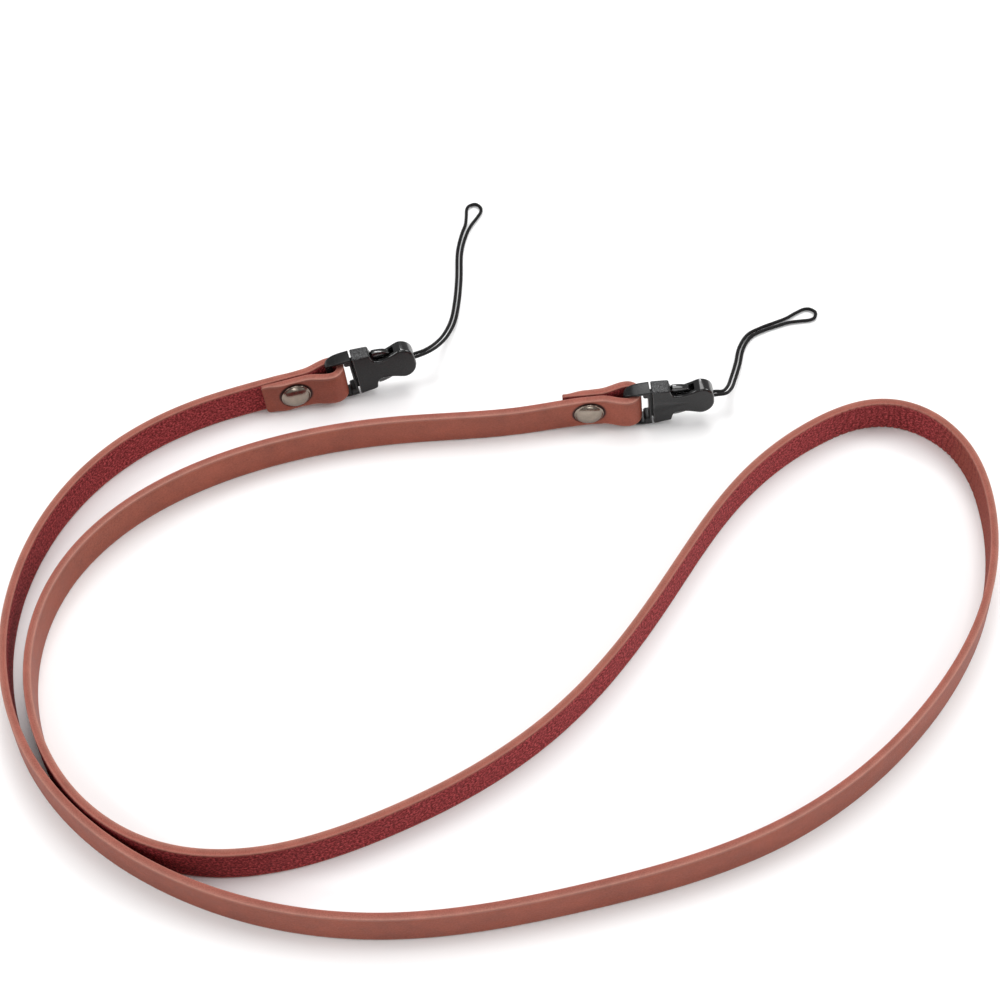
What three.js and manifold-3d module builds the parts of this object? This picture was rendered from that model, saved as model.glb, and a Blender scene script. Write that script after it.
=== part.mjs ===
// Camera neck strap: a narrow leather band with a small side-release clasp at each end.
// The band stands on its long edge and lies in one loose loop. Each end is folded round the bar
// of a clasp and held by a domed double-cap rivet. A thin cord loop runs out of each clasp's nose.
// Units are millimetres, +Z is up, and the origin is on the surface under the middle of the strap.

import * as THREE from 'three';
import { mergeVertices } from 'three/addons/utils/BufferGeometryUtils.js';
import Module from 'manifold-3d';

const wasm = await Module();
wasm.setup();

// Leather band
const strap_width = 10;
const strap_thickness = 1.9;
const strap_edge_bevel = 0.3;
const lay_length = 920;
const lay_steps = 200;
const lay_substeps = 8;
const lay_heading = 194.75;
const tab_length_left = 8;
const tab_length_right = 6.3;
const tab_corner = 0.6;

// Fold round the clasp's bar
const layer_gap = 0.3;
const fold_reach = 9.8;
const fold_pinch = 3;
const fold_steps = 8;
const bight_steps = 12;

// The band tips up towards each clasp over this stretch, by this many degrees
const rise_length = 16;
const nose_lift = 5;

// Double-cap rivet
const rivet_cap_diameter = 8;
const rivet_cap_height = 1.1;
const rivet_rim_height = 0.3;
const rivet_post_diameter = 2.4;
const rivet_socket_depth = 0.5;
const rivet_sides = 28;
const dome_arcs = 5;
const drill_sides = 16;

// Clasp
const fit_gap = 0.3;
const bar_diameter = 1.8;
const bar_gap = 0.75;
const opening_slack = 1.2;
const ring_thickness = 3.7;
const ring_leg = 0.65;
const ring_taper = 0.2;
const bight_window = 1.6;
const shoulder_depth = 0.95;
const leg_overhang = 0.2;
const ring_back = 1.1;
const ring_back_corner = 0.33;
const ring_bevel = 0.3;
const opening_corner = 0.5;
const bar_sides = 20;
const plug_bevel = 0.2;
const body_length = 15.5;
const body_thickness = 3.9;
const body_bevel = 0.4;
const bevel_steps = 2;
const corner_steps = 6;
const mouth_length = 4.6;
const mouth_wall = 1.2;
const mouth_taper = 0.4;
const plate_thickness = 0.95;
const nose_length = 5.1;
const arm_span = 10.8;
const cord_hole_depth = 2;
const cut_past = 1;

// Rim of the clasp's body past its mouth block. along is a share of body_length, and half is a
// share of half the ring's height.
const rim_rows = [
  { along: 0.303, half: 0.800 },
  { along: 0.315, half: 0.671 },
  { along: 0.335, half: 0.578 },
  { along: 0.361, half: 0.519 },
  { along: 0.392, half: 0.489 },
  { along: 0.430, half: 0.481 },
  { along: 0.510, half: 0.508 },
  { along: 0.589, half: 0.562 },
  { along: 0.657, half: 0.629 },
  { along: 0.718, half: 0.694 },
  { along: 0.774, half: 0.738 },
  { along: 0.835, half: 0.728 },
  { along: 0.895, half: 0.660 },
  { along: 0.945, half: 0.545 },
  { along: 0.980, half: 0.390 },
  { along: 1.000, half: 0.200 },
];

// Outline of the two arms between the plates, along their outer side to the tips and back along
// their inner side. along is a share of the way from the mouth to the nose's block, and half is a
// share of half of arm_span.
const arm_rows = [
  { along: 0.090, half: 0.900 },
  { along: 0.230, half: 0.830 },
  { along: 0.486, half: 0.870 },
  { along: 0.516, half: 1.000 },
  { along: 0.620, half: 0.990 },
  { along: 0.800, half: 0.910 },
  { along: 0.930, half: 0.760 },
  { along: 0.990, half: 0.570 },
  { along: 0.960, half: 0.460 },
  { along: 0.700, half: 0.650 },
  { along: 0.455, half: 0.440 },
  { along: 0.250, half: 0.410 },
  { along: 0.180, half: 0.300 },
];

// How each clasp hangs in its fold. Degrees: turn of its nose to the left, lean of its upper edge
// to the left, tip of its nose upwards. Millimetres: aside is to the left and lift is up.
const hang_left = { turn: -1, lean: 3, tip: 3, aside: 0.4, lift: 0.3 };
const hang_right = { turn: 3, lean: 0.5, tip: 1, aside: -0.45, lift: -0.25 };

// Cord loops
const cord_diameter = 0.85;
const cord_spread = 1.15;
const cord_sides = 8;
const cord_step = 2.2;

// Lay of the band between the rivets. along is a share of lay_length, turn is how sharply the band
// bends to its left there, in degrees over a whole lay_length, and lean is how many degrees its
// upper edge leans to its left. Both change evenly between the rows.
const lay_rows = [
  { along: 0.00, turn: 255, lean: 0 },
  { along: 0.02, turn: 545, lean: 2 },
  { along: 0.05, turn: 855, lean: 0 },
  { along: 0.10, turn: 680, lean: 2.5 },
  { along: 0.15, turn: 810, lean: 1 },
  { along: 0.20, turn: 540, lean: -1 },
  { along: 0.25, turn: 505, lean: -1 },
  { along: 0.30, turn: 90, lean: 0 },
  { along: 0.35, turn: 505, lean: 3 },
  { along: 0.40, turn: 390, lean: 4 },
  { along: 0.44, turn: 670, lean: 3.5 },
  { along: 0.47, turn: 740, lean: 3.5 },
  { along: 0.49, turn: 2100, lean: 7 },
  { along: 0.51, turn: 3035, lean: 4 },
  { along: 0.53, turn: 700, lean: -1 },
  { along: 0.56, turn: 565, lean: -3 },
  { along: 0.60, turn: -105, lean: -4 },
  { along: 0.65, turn: -490, lean: -2 },
  { along: 0.70, turn: -285, lean: 0 },
  { along: 0.75, turn: -1305, lean: 0 },
  { along: 0.80, turn: -860, lean: 0 },
  { along: 0.85, turn: -1040, lean: -2 },
  { along: 0.90, turn: -475, lean: -3 },
  { along: 0.95, turn: -300, lean: -5 },
  { along: 0.98, turn: 500, lean: -6 },
  { along: 1.00, turn: -1160, lean: -4 },
];

// Routes of the cord loops, from inside a clasp's nose down to the surface and along it to the eye
// at the far end. x, y and z place the middle between the loop's two strands, and apart is the
// distance between the strands' middles, which is 0 at the eye's tip.
const cord_route_left = [
  { x: -25.2, y: 76.1, z: 9.65, apart: 1.15 },
  { x: -23.2, y: 76.6, z: 9.94, apart: 1.15 },
  { x: -20.6, y: 79.2, z: 8.60, apart: 1.15 },
  { x: -17.8, y: 84.6, z: 5.60, apart: 1.15 },
  { x: -15.7, y: 91.0, z: 2.60, apart: 1.15 },
  { x: -14.3, y: 97.2, z: 0.90, apart: 1.15 },
  { x: -13.5, y: 104.2, z: 0.48, apart: 1.15 },
  { x: -13.1, y: 112.0, z: 0.45, apart: 1.15 },
  { x: -13.0, y: 122.2, z: 0.45, apart: 1.15 },
  { x: -11.9, y: 128.6, z: 0.45, apart: 1.3 },
  { x: -10.8, y: 132.2, z: 0.45, apart: 1.6 },
  { x: -9.9, y: 135.3, z: 0.45, apart: 3.0 },
  { x: -9.3, y: 137.8, z: 0.45, apart: 4.0 },
  { x: -9.1, y: 139.2, z: 0.45, apart: 3.2 },
  { x: -8.9, y: 140.2, z: 0.45, apart: 0 },
];
const cord_route_right = [
  { x: 49.7, y: 64.7, z: 8.55, apart: 1.15 },
  { x: 51.8, y: 64.9, z: 8.78, apart: 1.15 },
  { x: 53.9, y: 65.9, z: 7.90, apart: 1.15 },
  { x: 55.8, y: 69.6, z: 5.40, apart: 1.15 },
  { x: 57.4, y: 75.2, z: 2.40, apart: 1.15 },
  { x: 59.2, y: 81.7, z: 0.80, apart: 1.15 },
  { x: 60.6, y: 87.4, z: 0.48, apart: 1.15 },
  { x: 63.0, y: 91.6, z: 0.45, apart: 1.15 },
  { x: 66.5, y: 93.9, z: 0.45, apart: 1.15 },
  { x: 70.2, y: 95.6, z: 0.45, apart: 1.3 },
  { x: 73.4, y: 97.0, z: 0.45, apart: 1.6 },
  { x: 76.3, y: 98.2, z: 0.45, apart: 3.0 },
  { x: 78.8, y: 99.1, z: 0.45, apart: 4.0 },
  { x: 80.1, y: 99.5, z: 0.45, apart: 3.2 },
  { x: 81.0, y: 99.8, z: 0.45, apart: 0 },
];

const leather = new THREE.MeshStandardMaterial({ color: 0x9a5a4a, roughness: 0.6, metalness: 0 });
const gunmetal = new THREE.MeshStandardMaterial({ color: 0x857d74, roughness: 0.3, metalness: 1 });
const black_plastic = new THREE.MeshStandardMaterial({ color: 0x1c1c1d, roughness: 0.4, metalness: 0 });
const black_cord = new THREE.MeshStandardMaterial({ color: 0x121212, roughness: 0.8, metalness: 0 });

const radians = THREE.MathUtils.degToRad;
const smoothstep = THREE.MathUtils.smoothstep;

// Sizes that follow from the ones above
const layer_offset = (strap_thickness + layer_gap) / 2;
const pocket_offset = bar_diameter / 2 + bar_gap + strap_thickness / 2;
const opening_height = strap_width + opening_slack;
const ring_height = opening_height + 2 * ring_leg + 2 * ring_taper;
const mouth_inner = ring_height - 2 * mouth_wall;
const cavity_thickness = body_thickness - 2 * plate_thickness;
const plug_thickness = cavity_thickness - 2 * fit_gap;
const bar_to_mouth = pocket_offset + strap_thickness / 2 + bight_window + shoulder_depth;
const arm_length = body_length - nose_length - fit_gap;

// Closed mesh with shared vertices, ready for cuts
function merged(geometry) {
  const plain = geometry.index ? geometry.toNonIndexed() : geometry.clone();
  plain.deleteAttribute('normal');
  plain.deleteAttribute('uv');
  return mergeVertices(plain, 1e-4);
}

function toSolid(geometry) {
  const closed = merged(geometry);
  const vertProperties = new Float32Array(closed.attributes.position.array);
  const triVerts = new Uint32Array(closed.index.array);
  const mesh = new wasm.Mesh({ numProp: 3, vertProperties, triVerts });
  mesh.merge();
  return new wasm.Manifold(mesh);
}

function toGeometry(solid) {
  const mesh = solid.getMesh();
  const geometry = new THREE.BufferGeometry();
  geometry.setAttribute('position', new THREE.BufferAttribute(mesh.vertProperties, 3));
  geometry.setIndex(new THREE.BufferAttribute(mesh.triVerts, 1));
  geometry.computeVertexNormals();
  return geometry;
}

// Outline in x and z, given thickness across y and centred on it, with softened edges
function across(shape, thickness, bevel) {
  const geometry = new THREE.ExtrudeGeometry(shape, {
    depth: thickness - 2 * bevel,
    bevelEnabled: bevel > 0,
    bevelThickness: bevel,
    bevelSize: bevel,
    bevelOffset: -bevel,
    bevelSegments: bevel_steps,
    curveSegments: corner_steps,
  });
  geometry.translate(0, 0, -thickness / 2 + bevel);
  geometry.rotateX(Math.PI / 2);
  return geometry;
}

// Solid through a row of rings of equal point counts, closed at both ends
function loft(rings) {
  const sides = rings[0].length;
  const positions = rings.flat().flatMap((point) => [point.x, point.y, point.z]);
  const index = [];
  for (let row = 0; row + 1 < rings.length; row += 1) {
    for (let side = 0; side < sides; side += 1) {
      const near = row * sides + side;
      const next = row * sides + (side + 1) % sides;
      index.push(near, next, near + sides);
      index.push(next, next + sides, near + sides);
    }
  }
  const last = (rings.length - 1) * sides;
  for (let side = 1; side + 1 < sides; side += 1) {
    index.push(0, side + 1, side);
    index.push(last, last + side, last + side + 1);
  }
  const geometry = new THREE.BufferGeometry();
  geometry.setAttribute('position', new THREE.Float32BufferAttribute(positions, 3));
  geometry.setIndex(index);
  return geometry;
}

// A station of the band: where its middle is, which way it runs, its left side and its upper edge
function station(place, ahead, left) {
  return { place, ahead, left, up: new THREE.Vector3().crossVectors(ahead, left) };
}

function layAt(share) {
  const next = Math.max(1, lay_rows.findIndex((row) => row.along >= share));
  const before = lay_rows[next - 1];
  const after = lay_rows[next];
  const mix = (share - before.along) / (after.along - before.along);
  return {
    turn: radians(THREE.MathUtils.lerp(before.turn, after.turn, mix)),
    lean: radians(THREE.MathUtils.lerp(before.lean, after.lean, mix)),
  };
}

// Height of the band's middle when it stands on its lower edge and leans by this angle
function standingHeight(lean) {
  const foot = strap_thickness / 2 - strap_edge_bevel;
  return strap_width / 2 * Math.cos(lean) + foot * Math.abs(Math.sin(lean));
}

// Height and tilt of the band near its ends, where it tips up towards the clasps
function riseAt(distance) {
  const tilt = radians(nose_lift);
  const toStart = Math.max(0, 1 - distance / rise_length);
  const toEnd = Math.max(0, 1 - (lay_length - distance) / rise_length);
  const height = (toStart ** 2 + toEnd ** 2) * rise_length * tilt / 2;
  return { height, pitch: (toEnd - toStart) * tilt };
}

// Middle line of the band from one rivet to the other, walked in small steps of even length
function layStations() {
  const stations = [];
  const step = lay_length / (lay_steps * lay_substeps);
  let x = 0;
  let y = 0;
  let heading = radians(lay_heading);
  for (let count = 0; count <= lay_steps * lay_substeps; count += 1) {
    const distance = count * step;
    if (count % lay_substeps === 0) {
      const { height, pitch } = riseAt(distance);
      const { lean } = layAt(distance / lay_length);
      const place = new THREE.Vector3(x, y, standingHeight(lean) + height);
      const level = new THREE.Vector3(Math.cos(heading), Math.sin(heading), 0);
      const ahead = level.multiplyScalar(Math.cos(pitch)).setZ(Math.sin(pitch));
      const left = new THREE.Vector3(-Math.sin(heading), Math.cos(heading), 0);
      stations.push(station(place, ahead, left.applyAxisAngle(ahead, -lean)));
    }
    const bend = layAt((distance + step / 2) / lay_length).turn * step / lay_length;
    x += Math.cos(heading + bend / 2) * step;
    y += Math.sin(heading + bend / 2) * step;
    heading += bend;
  }
  return stations;
}

// Frame of one folded end: its origin is midway between the two layers at the rivet,
// u points to the clasp's nose, v across the layers and w up
function foldFrame(layEnd, towardsNose) {
  const u = layEnd.ahead.clone().multiplyScalar(towardsNose);
  const v = layEnd.left.clone().multiplyScalar(towardsNose);
  const w = new THREE.Vector3().crossVectors(u, v);
  const origin = layEnd.place.clone().addScaledVector(v, towardsNose * layer_offset);
  return { origin, u, v, w };
}

function inFrame(frame, along, aside, up = 0) {
  return frame.origin.clone()
    .addScaledVector(frame.u, along)
    .addScaledVector(frame.v, aside)
    .addScaledVector(frame.w, up);
}

function foldStation(frame, along, offset, angle) {
  const cos = Math.cos(angle);
  const sin = Math.sin(angle);
  const ahead = frame.u.clone().multiplyScalar(cos).addScaledVector(frame.v, sin);
  const left = frame.u.clone().multiplyScalar(-sin).addScaledVector(frame.v, cos);
  return station(inFrame(frame, along, offset), ahead, left);
}

// The fold, from just past the rivet on the v-negative layer round the bar to the other layer
function foldStations(frame) {
  const spreadAt = (along) => THREE.MathUtils.lerp(
    layer_offset, pocket_offset, smoothstep(along, fold_pinch, fold_reach));
  const slope = (along) => Math.atan((spreadAt(along + 0.01) - spreadAt(along - 0.01)) / 0.02);
  const out = [];
  const back = [];
  for (let count = 0; count < fold_steps; count += 1) {
    const along = THREE.MathUtils.lerp(fold_pinch, fold_reach, count / fold_steps);
    out.push(foldStation(frame, along, -spreadAt(along), -slope(along)));
    back.unshift(foldStation(frame, along, spreadAt(along), Math.PI + slope(along)));
  }
  const bight = [];
  for (let count = 0; count <= bight_steps; count += 1) {
    const angle = Math.PI * count / bight_steps;
    const along = fold_reach + pocket_offset * Math.sin(angle);
    bight.push(foldStation(frame, along, -pocket_offset * Math.cos(angle), angle));
  }
  return [...out, ...bight, ...back];
}

// Straight tab past the rivet, its cut end with softened corners
function tabStations(frame, length, layer, angle) {
  const ends = [length, length - tab_corner, 0];
  return ends.map((distance) => foldStation(frame, -distance, layer * layer_offset, angle));
}

// Section of the band: a flat bar with bevelled edges, its end rings a little narrower
function bandRing({ place, left, up }, narrowing = 0) {
  const halfWidth = strap_width / 2 - narrowing;
  const halfThickness = strap_thickness / 2;
  const corners = [
    [halfThickness, -halfWidth + strap_edge_bevel],
    [halfThickness, halfWidth - strap_edge_bevel],
    [halfThickness - strap_edge_bevel, halfWidth],
    [-halfThickness + strap_edge_bevel, halfWidth],
    [-halfThickness, halfWidth - strap_edge_bevel],
    [-halfThickness, -halfWidth + strap_edge_bevel],
    [-halfThickness + strap_edge_bevel, -halfWidth],
    [halfThickness - strap_edge_bevel, -halfWidth],
  ];
  return corners.map(([side, height]) => place.clone()
    .addScaledVector(left, side)
    .addScaledVector(up, height));
}

function makeStrap(lay, leftFrame, rightFrame) {
  const stations = [
    ...tabStations(leftFrame, tab_length_left, -1, 0),
    ...foldStations(leftFrame),
    ...lay,
    ...foldStations(rightFrame),
    ...tabStations(rightFrame, tab_length_right, 1, Math.PI).reverse(),
  ];
  const rings = stations.map((one, count) => {
    const isEnd = count === 0 || count === stations.length - 1;
    return bandRing(one, isEnd ? tab_corner : 0);
  });
  let solid = toSolid(loft(rings));
  for (const frame of [leftFrame, rightFrame]) {
    const radius = rivet_post_diameter / 2 + fit_gap;
    const drill = new THREE.CylinderGeometry(radius, radius, 3 * pocket_offset, drill_sides);
    drill.applyMatrix4(frameMatrix(frame));
    solid = solid.subtract(toSolid(drill));
  }
  return toGeometry(solid);
}

// Places a piece whose x, y and z run along u, v and w of a fold
function frameMatrix(frame, along = 0) {
  const matrix = new THREE.Matrix4().makeBasis(frame.u, frame.v, frame.w);
  return matrix.setPosition(inFrame(frame, along, 0));
}

// Domed cap, its flat side at y = 0 and its crown at y = rivet_cap_height
function domePoints() {
  const radius = rivet_cap_diameter / 2;
  const crown = rivet_cap_height - rivet_rim_height;
  const points = [new THREE.Vector2(radius, 0)];
  for (let count = 0; count <= dome_arcs; count += 1) {
    const angle = Math.PI / 2 * count / dome_arcs;
    points.push(new THREE.Vector2(radius * Math.cos(angle), rivet_rim_height + crown * Math.sin(angle)));
  }
  points[points.length - 1].x = 0;
  return points;
}

// Front cap with the socket that takes the post
function makeRivetCap() {
  const socket = rivet_post_diameter / 2 + fit_gap;
  const points = [
    new THREE.Vector2(0, rivet_socket_depth),
    new THREE.Vector2(socket, rivet_socket_depth),
    new THREE.Vector2(socket, 0),
    ...domePoints(),
  ];
  return new THREE.LatheGeometry(points, rivet_sides);
}

// Back cap with the post, which passes through both layers into the front cap's socket
function makeRivetPost() {
  const radius = rivet_post_diameter / 2;
  const stack = 2 * strap_thickness + layer_gap + 2 * fit_gap;
  const postTop = stack + rivet_socket_depth - fit_gap;
  const dome = domePoints().reverse().map((point) => new THREE.Vector2(point.x, -point.y));
  const points = [...dome, new THREE.Vector2(radius, 0), new THREE.Vector2(radius, postTop)];
  points.push(new THREE.Vector2(0, postTop));
  return new THREE.LatheGeometry(points, rivet_sides);
}

function roundedBox(left, right, halfHeight, radius) {
  const shape = new THREE.Shape();
  shape.moveTo(left + radius, -halfHeight);
  shape.lineTo(right - radius, -halfHeight);
  shape.quadraticCurveTo(right, -halfHeight, right, -halfHeight + radius);
  shape.lineTo(right, halfHeight - radius);
  shape.quadraticCurveTo(right, halfHeight, right - radius, halfHeight);
  shape.lineTo(left + radius, halfHeight);
  shape.quadraticCurveTo(left, halfHeight, left, halfHeight - radius);
  shape.lineTo(left, -halfHeight + radius);
  shape.quadraticCurveTo(left, -halfHeight, left + radius, -halfHeight);
  return shape;
}

// Outline with the same profile above and below the clasp's middle line, from left to right
function mirrored(profile) {
  const shape = new THREE.Shape();
  const upper = profile.map(([x, z]) => new THREE.Vector2(x, z));
  const lower = profile.map(([x, z]) => new THREE.Vector2(x, -z)).reverse();
  const points = [...lower, ...upper].filter((point, count, all) => {
    const before = all[(count + all.length - 1) % all.length];
    return point.distanceTo(before) > 1e-6;
  });
  shape.setFromPoints(points.reverse());
  return shape;
}

// Half of the clasp that holds the band: ring, neck and two springy arms. x = 0 is the bar's middle.
function makeClaspLoop() {
  const back = -ring_back;
  const legEnd = bar_to_mouth - shoulder_depth + leg_overhang;
  const halfRing = ring_height / 2;
  const neck = mouth_inner / 2 - fit_gap;
  const ringProfile = [
    [back, 0],
    [back, halfRing - ring_taper - ring_back],
    [back + ring_back_corner, halfRing - ring_taper - ring_back_corner],
    [back + ring_back, halfRing - ring_taper],
    [legEnd, halfRing],
    [legEnd, neck],
    [bar_to_mouth, neck],
    [bar_to_mouth, 0],
  ];
  const ring = toSolid(across(mirrored(ringProfile), ring_thickness, ring_bevel));
  const opening = roundedBox(2 * back, bar_to_mouth - shoulder_depth, opening_height / 2, opening_corner);
  const hole = toSolid(across(opening, 2 * ring_thickness, 0));
  const barRadius = bar_diameter / 2;
  const barGeometry = new THREE.CylinderGeometry(
    barRadius, barRadius, opening_height + ring_leg, bar_sides);
  barGeometry.rotateX(Math.PI / 2);

  // The neck is cut down to the plug's thickness, so that it slides between the plates
  const neckCut = new THREE.BoxGeometry(2 * leg_overhang, 2 * ring_thickness, 2 * ring_height);
  neckCut.translate(legEnd + leg_overhang, ring_thickness + plug_thickness / 2, 0);
  const farCut = neckCut.clone().translate(0, -2 * ring_thickness - plug_thickness, 0);
  const arms = arm_rows.map((row) => [
    bar_to_mouth + row.along * arm_length,
    row.half * arm_span / 2,
  ]);
  const start = bar_to_mouth - shoulder_depth / 2;
  const first = arms[0];
  const last = arms[arms.length - 1];
  const plugProfile = [[start, 0], [start, first[1]], ...arms, [last[0], 0]];
  const plug = toSolid(across(mirrored(plugProfile), plug_thickness, plug_bevel));
  return toGeometry(ring.subtract(hole).add(toSolid(barGeometry))
    .subtract(toSolid(neckCut)).subtract(toSolid(farCut)).add(plug));
}

// Other half of the clasp: two plates joined at the mouth's sides and at the nose
function makeClaspBody() {
  const half = ring_height / 2;
  const block = [
    [0, half - body_bevel],
    [body_bevel, half],
    [mouth_length - body_bevel, half - mouth_taper],
    [mouth_length, half - mouth_taper - body_bevel],
  ];
  const rim = rim_rows.map((row) => [row.along * body_length, row.half * half]);
  const outer = toSolid(across(mirrored([...block, ...rim]), body_thickness, body_bevel));

  const cavity = new THREE.BoxGeometry(mouth_length + 2 * cut_past, cavity_thickness, mouth_inner);
  cavity.translate(mouth_length / 2, 0, 0);
  const gapLength = body_length - nose_length - mouth_length;
  const sides = new THREE.BoxGeometry(gapLength, cavity_thickness, 2 * ring_height);
  sides.translate(mouth_length + gapLength / 2, 0, 0);
  return toGeometry(outer.subtract(toSolid(cavity)).subtract(toSolid(sides)).subtract(cordSlot()));
}

// Slot in the nose's end that the two strands of the cord come out of
function cordSlot() {
  const width = cord_spread + cord_diameter + fit_gap * 2;
  const height = cord_diameter + fit_gap * 2;
  const slot = new THREE.BoxGeometry(2 * cord_hole_depth, width, height);
  slot.translate(body_length, 0, 0);
  return toSolid(slot);
}

function named(name, geometry, material) {
  const mesh = new THREE.Mesh(geometry, material);
  mesh.name = name;
  return mesh;
}

function makeRivet(side, frame) {
  const pair = new THREE.Group();
  frameMatrix(frame).decompose(pair.position, pair.quaternion, pair.scale);
  const face = layer_offset + strap_thickness / 2 + fit_gap;
  const cap = named(`rivet_cap_${side}`, makeRivetCap(), gunmetal.clone());
  cap.rotation.x = Math.PI;
  cap.position.y = -face;
  const post = named(`rivet_post_${side}`, makeRivetPost(), gunmetal.clone());
  post.rotation.x = Math.PI;
  post.position.y = face;
  pair.add(cap, post);
  return pair;
}

function makeClasp(side, frame, hang) {
  const clasp = new THREE.Group();
  const matrix = frameMatrix(frame, fold_reach);
  matrix.multiply(new THREE.Matrix4().makeTranslation(0, hang.aside, hang.lift));
  const turned = new THREE.Euler(radians(-hang.lean), radians(-hang.tip), radians(hang.turn), 'ZYX');
  matrix.multiply(new THREE.Matrix4().makeRotationFromEuler(turned));
  matrix.decompose(clasp.position, clasp.quaternion, clasp.scale);
  const loop = named(`clasp_loop_${side}`, makeClaspLoop(), black_plastic.clone());
  const body = named(`clasp_body_${side}`, makeClaspBody(), black_plastic.clone());
  body.position.x = bar_to_mouth;
  clasp.add(loop, body);
  return clasp;
}

// Middle line of a cord loop, out along one strand, round the eye and back along the other
function loopLine(rows) {
  const out = [];
  const back = [];
  rows.forEach((row, count) => {
    const before = rows[Math.max(0, count - 1)];
    const after = rows[Math.min(rows.length - 1, count + 1)];
    const run = new THREE.Vector2(after.x - before.x, after.y - before.y).normalize();
    const place = new THREE.Vector3(row.x, row.y, row.z);
    const aside = new THREE.Vector3(-run.y, run.x, 0).multiplyScalar(row.apart / 2);
    out.push(place.clone().add(aside));
    if (row.apart > 0) back.unshift(place.clone().sub(aside));
  });
  return new THREE.CatmullRomCurve3([...out, ...back], false, 'centripetal');
}

function makeCord(side, rows) {
  const line = loopLine(rows);
  const section = [];
  for (let count = 0; count < cord_sides; count += 1) {
    const angle = 2 * Math.PI * count / cord_sides;
    section.push(new THREE.Vector2(Math.cos(angle), Math.sin(angle)).multiplyScalar(cord_diameter / 2));
  }
  const tube = new THREE.ExtrudeGeometry(new THREE.Shape(section), {
    steps: Math.round(line.getLength() / cord_step),
    extrudePath: line,
    bevelEnabled: false,
  });
  return named(`cord_${side}`, merged(tube), black_cord.clone());
}

const lay = layStations();
const leftFrame = foldFrame(lay[0], -1);
const rightFrame = foldFrame(lay[lay.length - 1], 1);

const strap = new THREE.Group();
strap.add(named('strap', makeStrap(lay, leftFrame, rightFrame), leather));
strap.add(makeRivet('left', leftFrame), makeRivet('right', rightFrame));
strap.add(makeClasp('left', leftFrame, hang_left));
strap.add(makeClasp('right', rightFrame, hang_right));

// The strap stands on the surface, with the origin under the middle of its outline
const outline = new THREE.Box3().setFromObject(strap, true);
const middle = outline.getCenter(new THREE.Vector3());
strap.position.set(-middle.x, -middle.y, -outline.min.z);

const part = new THREE.Group();
part.add(strap, makeCord('left', cord_route_left), makeCord('right', cord_route_right));

export default part;
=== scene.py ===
"""Camera neck strap lying on its long edge: leather band, cap rivets, clasps and cord loops."""

import math

import bmesh
import bpy
import numpy as np
from bpy.props import FloatProperty, FloatVectorProperty, PointerProperty
from mathutils import Matrix, Vector


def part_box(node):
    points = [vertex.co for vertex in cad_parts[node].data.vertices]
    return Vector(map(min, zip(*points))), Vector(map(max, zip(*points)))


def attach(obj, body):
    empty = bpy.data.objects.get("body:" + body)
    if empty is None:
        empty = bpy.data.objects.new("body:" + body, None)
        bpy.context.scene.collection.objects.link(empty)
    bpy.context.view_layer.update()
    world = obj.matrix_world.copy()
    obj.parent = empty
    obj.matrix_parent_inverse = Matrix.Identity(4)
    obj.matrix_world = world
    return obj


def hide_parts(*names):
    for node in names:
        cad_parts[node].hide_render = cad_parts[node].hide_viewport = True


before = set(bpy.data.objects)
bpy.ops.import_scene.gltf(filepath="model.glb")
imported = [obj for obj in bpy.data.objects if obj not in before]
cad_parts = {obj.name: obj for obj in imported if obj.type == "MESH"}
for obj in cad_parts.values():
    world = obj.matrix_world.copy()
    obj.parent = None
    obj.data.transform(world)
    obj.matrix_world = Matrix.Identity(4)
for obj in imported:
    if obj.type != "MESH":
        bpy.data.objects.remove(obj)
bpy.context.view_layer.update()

bl_info = {
    "name": "Camera neck strap",
    "version": (1, 0, 0),
    "blender": (4, 5, 0),
    "location": "View3D > Sidebar > Neck strap",
    "description": "Makes a leather camera neck strap with its rivets, clasps and cord loops",
    "category": "Add Mesh",
}

MM = 0.001

# Lay of the band between the rivets, as the solid has it. along is a share of the lay's length,
# turn is how sharply the band bends to its left there, in degrees over the whole length, and lean
# is how many degrees its upper edge leans to its left.
LAY_LENGTH = 920
LAY_HEADING = 194.75
LAY_ROWS = (
    # along, turn, lean
    (0.00, 255, 0),
    (0.02, 545, 2),
    (0.05, 855, 0),
    (0.10, 680, 2.5),
    (0.15, 810, 1),
    (0.20, 540, -1),
    (0.25, 505, -1),
    (0.30, 90, 0),
    (0.35, 505, 3),
    (0.40, 390, 4),
    (0.44, 670, 3.5),
    (0.47, 740, 3.5),
    (0.49, 2100, 7),
    (0.51, 3035, 4),
    (0.53, 700, -1),
    (0.56, 565, -3),
    (0.60, -105, -4),
    (0.65, -490, -2),
    (0.70, -285, 0),
    (0.75, -1305, 0),
    (0.80, -860, 0),
    (0.85, -1040, -2),
    (0.90, -475, -3),
    (0.95, -300, -5),
    (0.98, 500, -6),
    (1.00, -1160, -4),
)
LAY_STEPS = 3200
KEPT_STEPS = 4

# Middle and half-length of the tightest bend, as shares of the lay
TIGHT_BEND = 0.505
TIGHT_REACH = 0.045

# Section of the band in millimetres: its thickness, half its width, half the flat of a side and
# half the flat of an edge
LEATHER = 1.9
HALF_WIDTH = 5
HALF_SIDE = 4.7
HALF_EDGE = 0.65

# How much the band's sides and edges swell in the middle, in metres
SIDE_CROWN = 0.00005
EDGE_CROWN = 0.00004

# Folded ends in millimetres: the tabs past each rivet and the thinning of their ends, the length
# of a fold, where it starts to open, the gap between its layers, half its width at the clasp, how
# far from the rivet the band starts to rise, then the rise in degrees
TAB_LEFT = 8
TAB_RIGHT = 6.3
TAB_SKIVE = 0.45
FOLD_REACH = 9.8
FOLD_PINCH = 3
LAYER_GAP = 0.3
POCKET = 2.6
RISE_LENGTH = 16
NOSE_LIFT = 5

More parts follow.
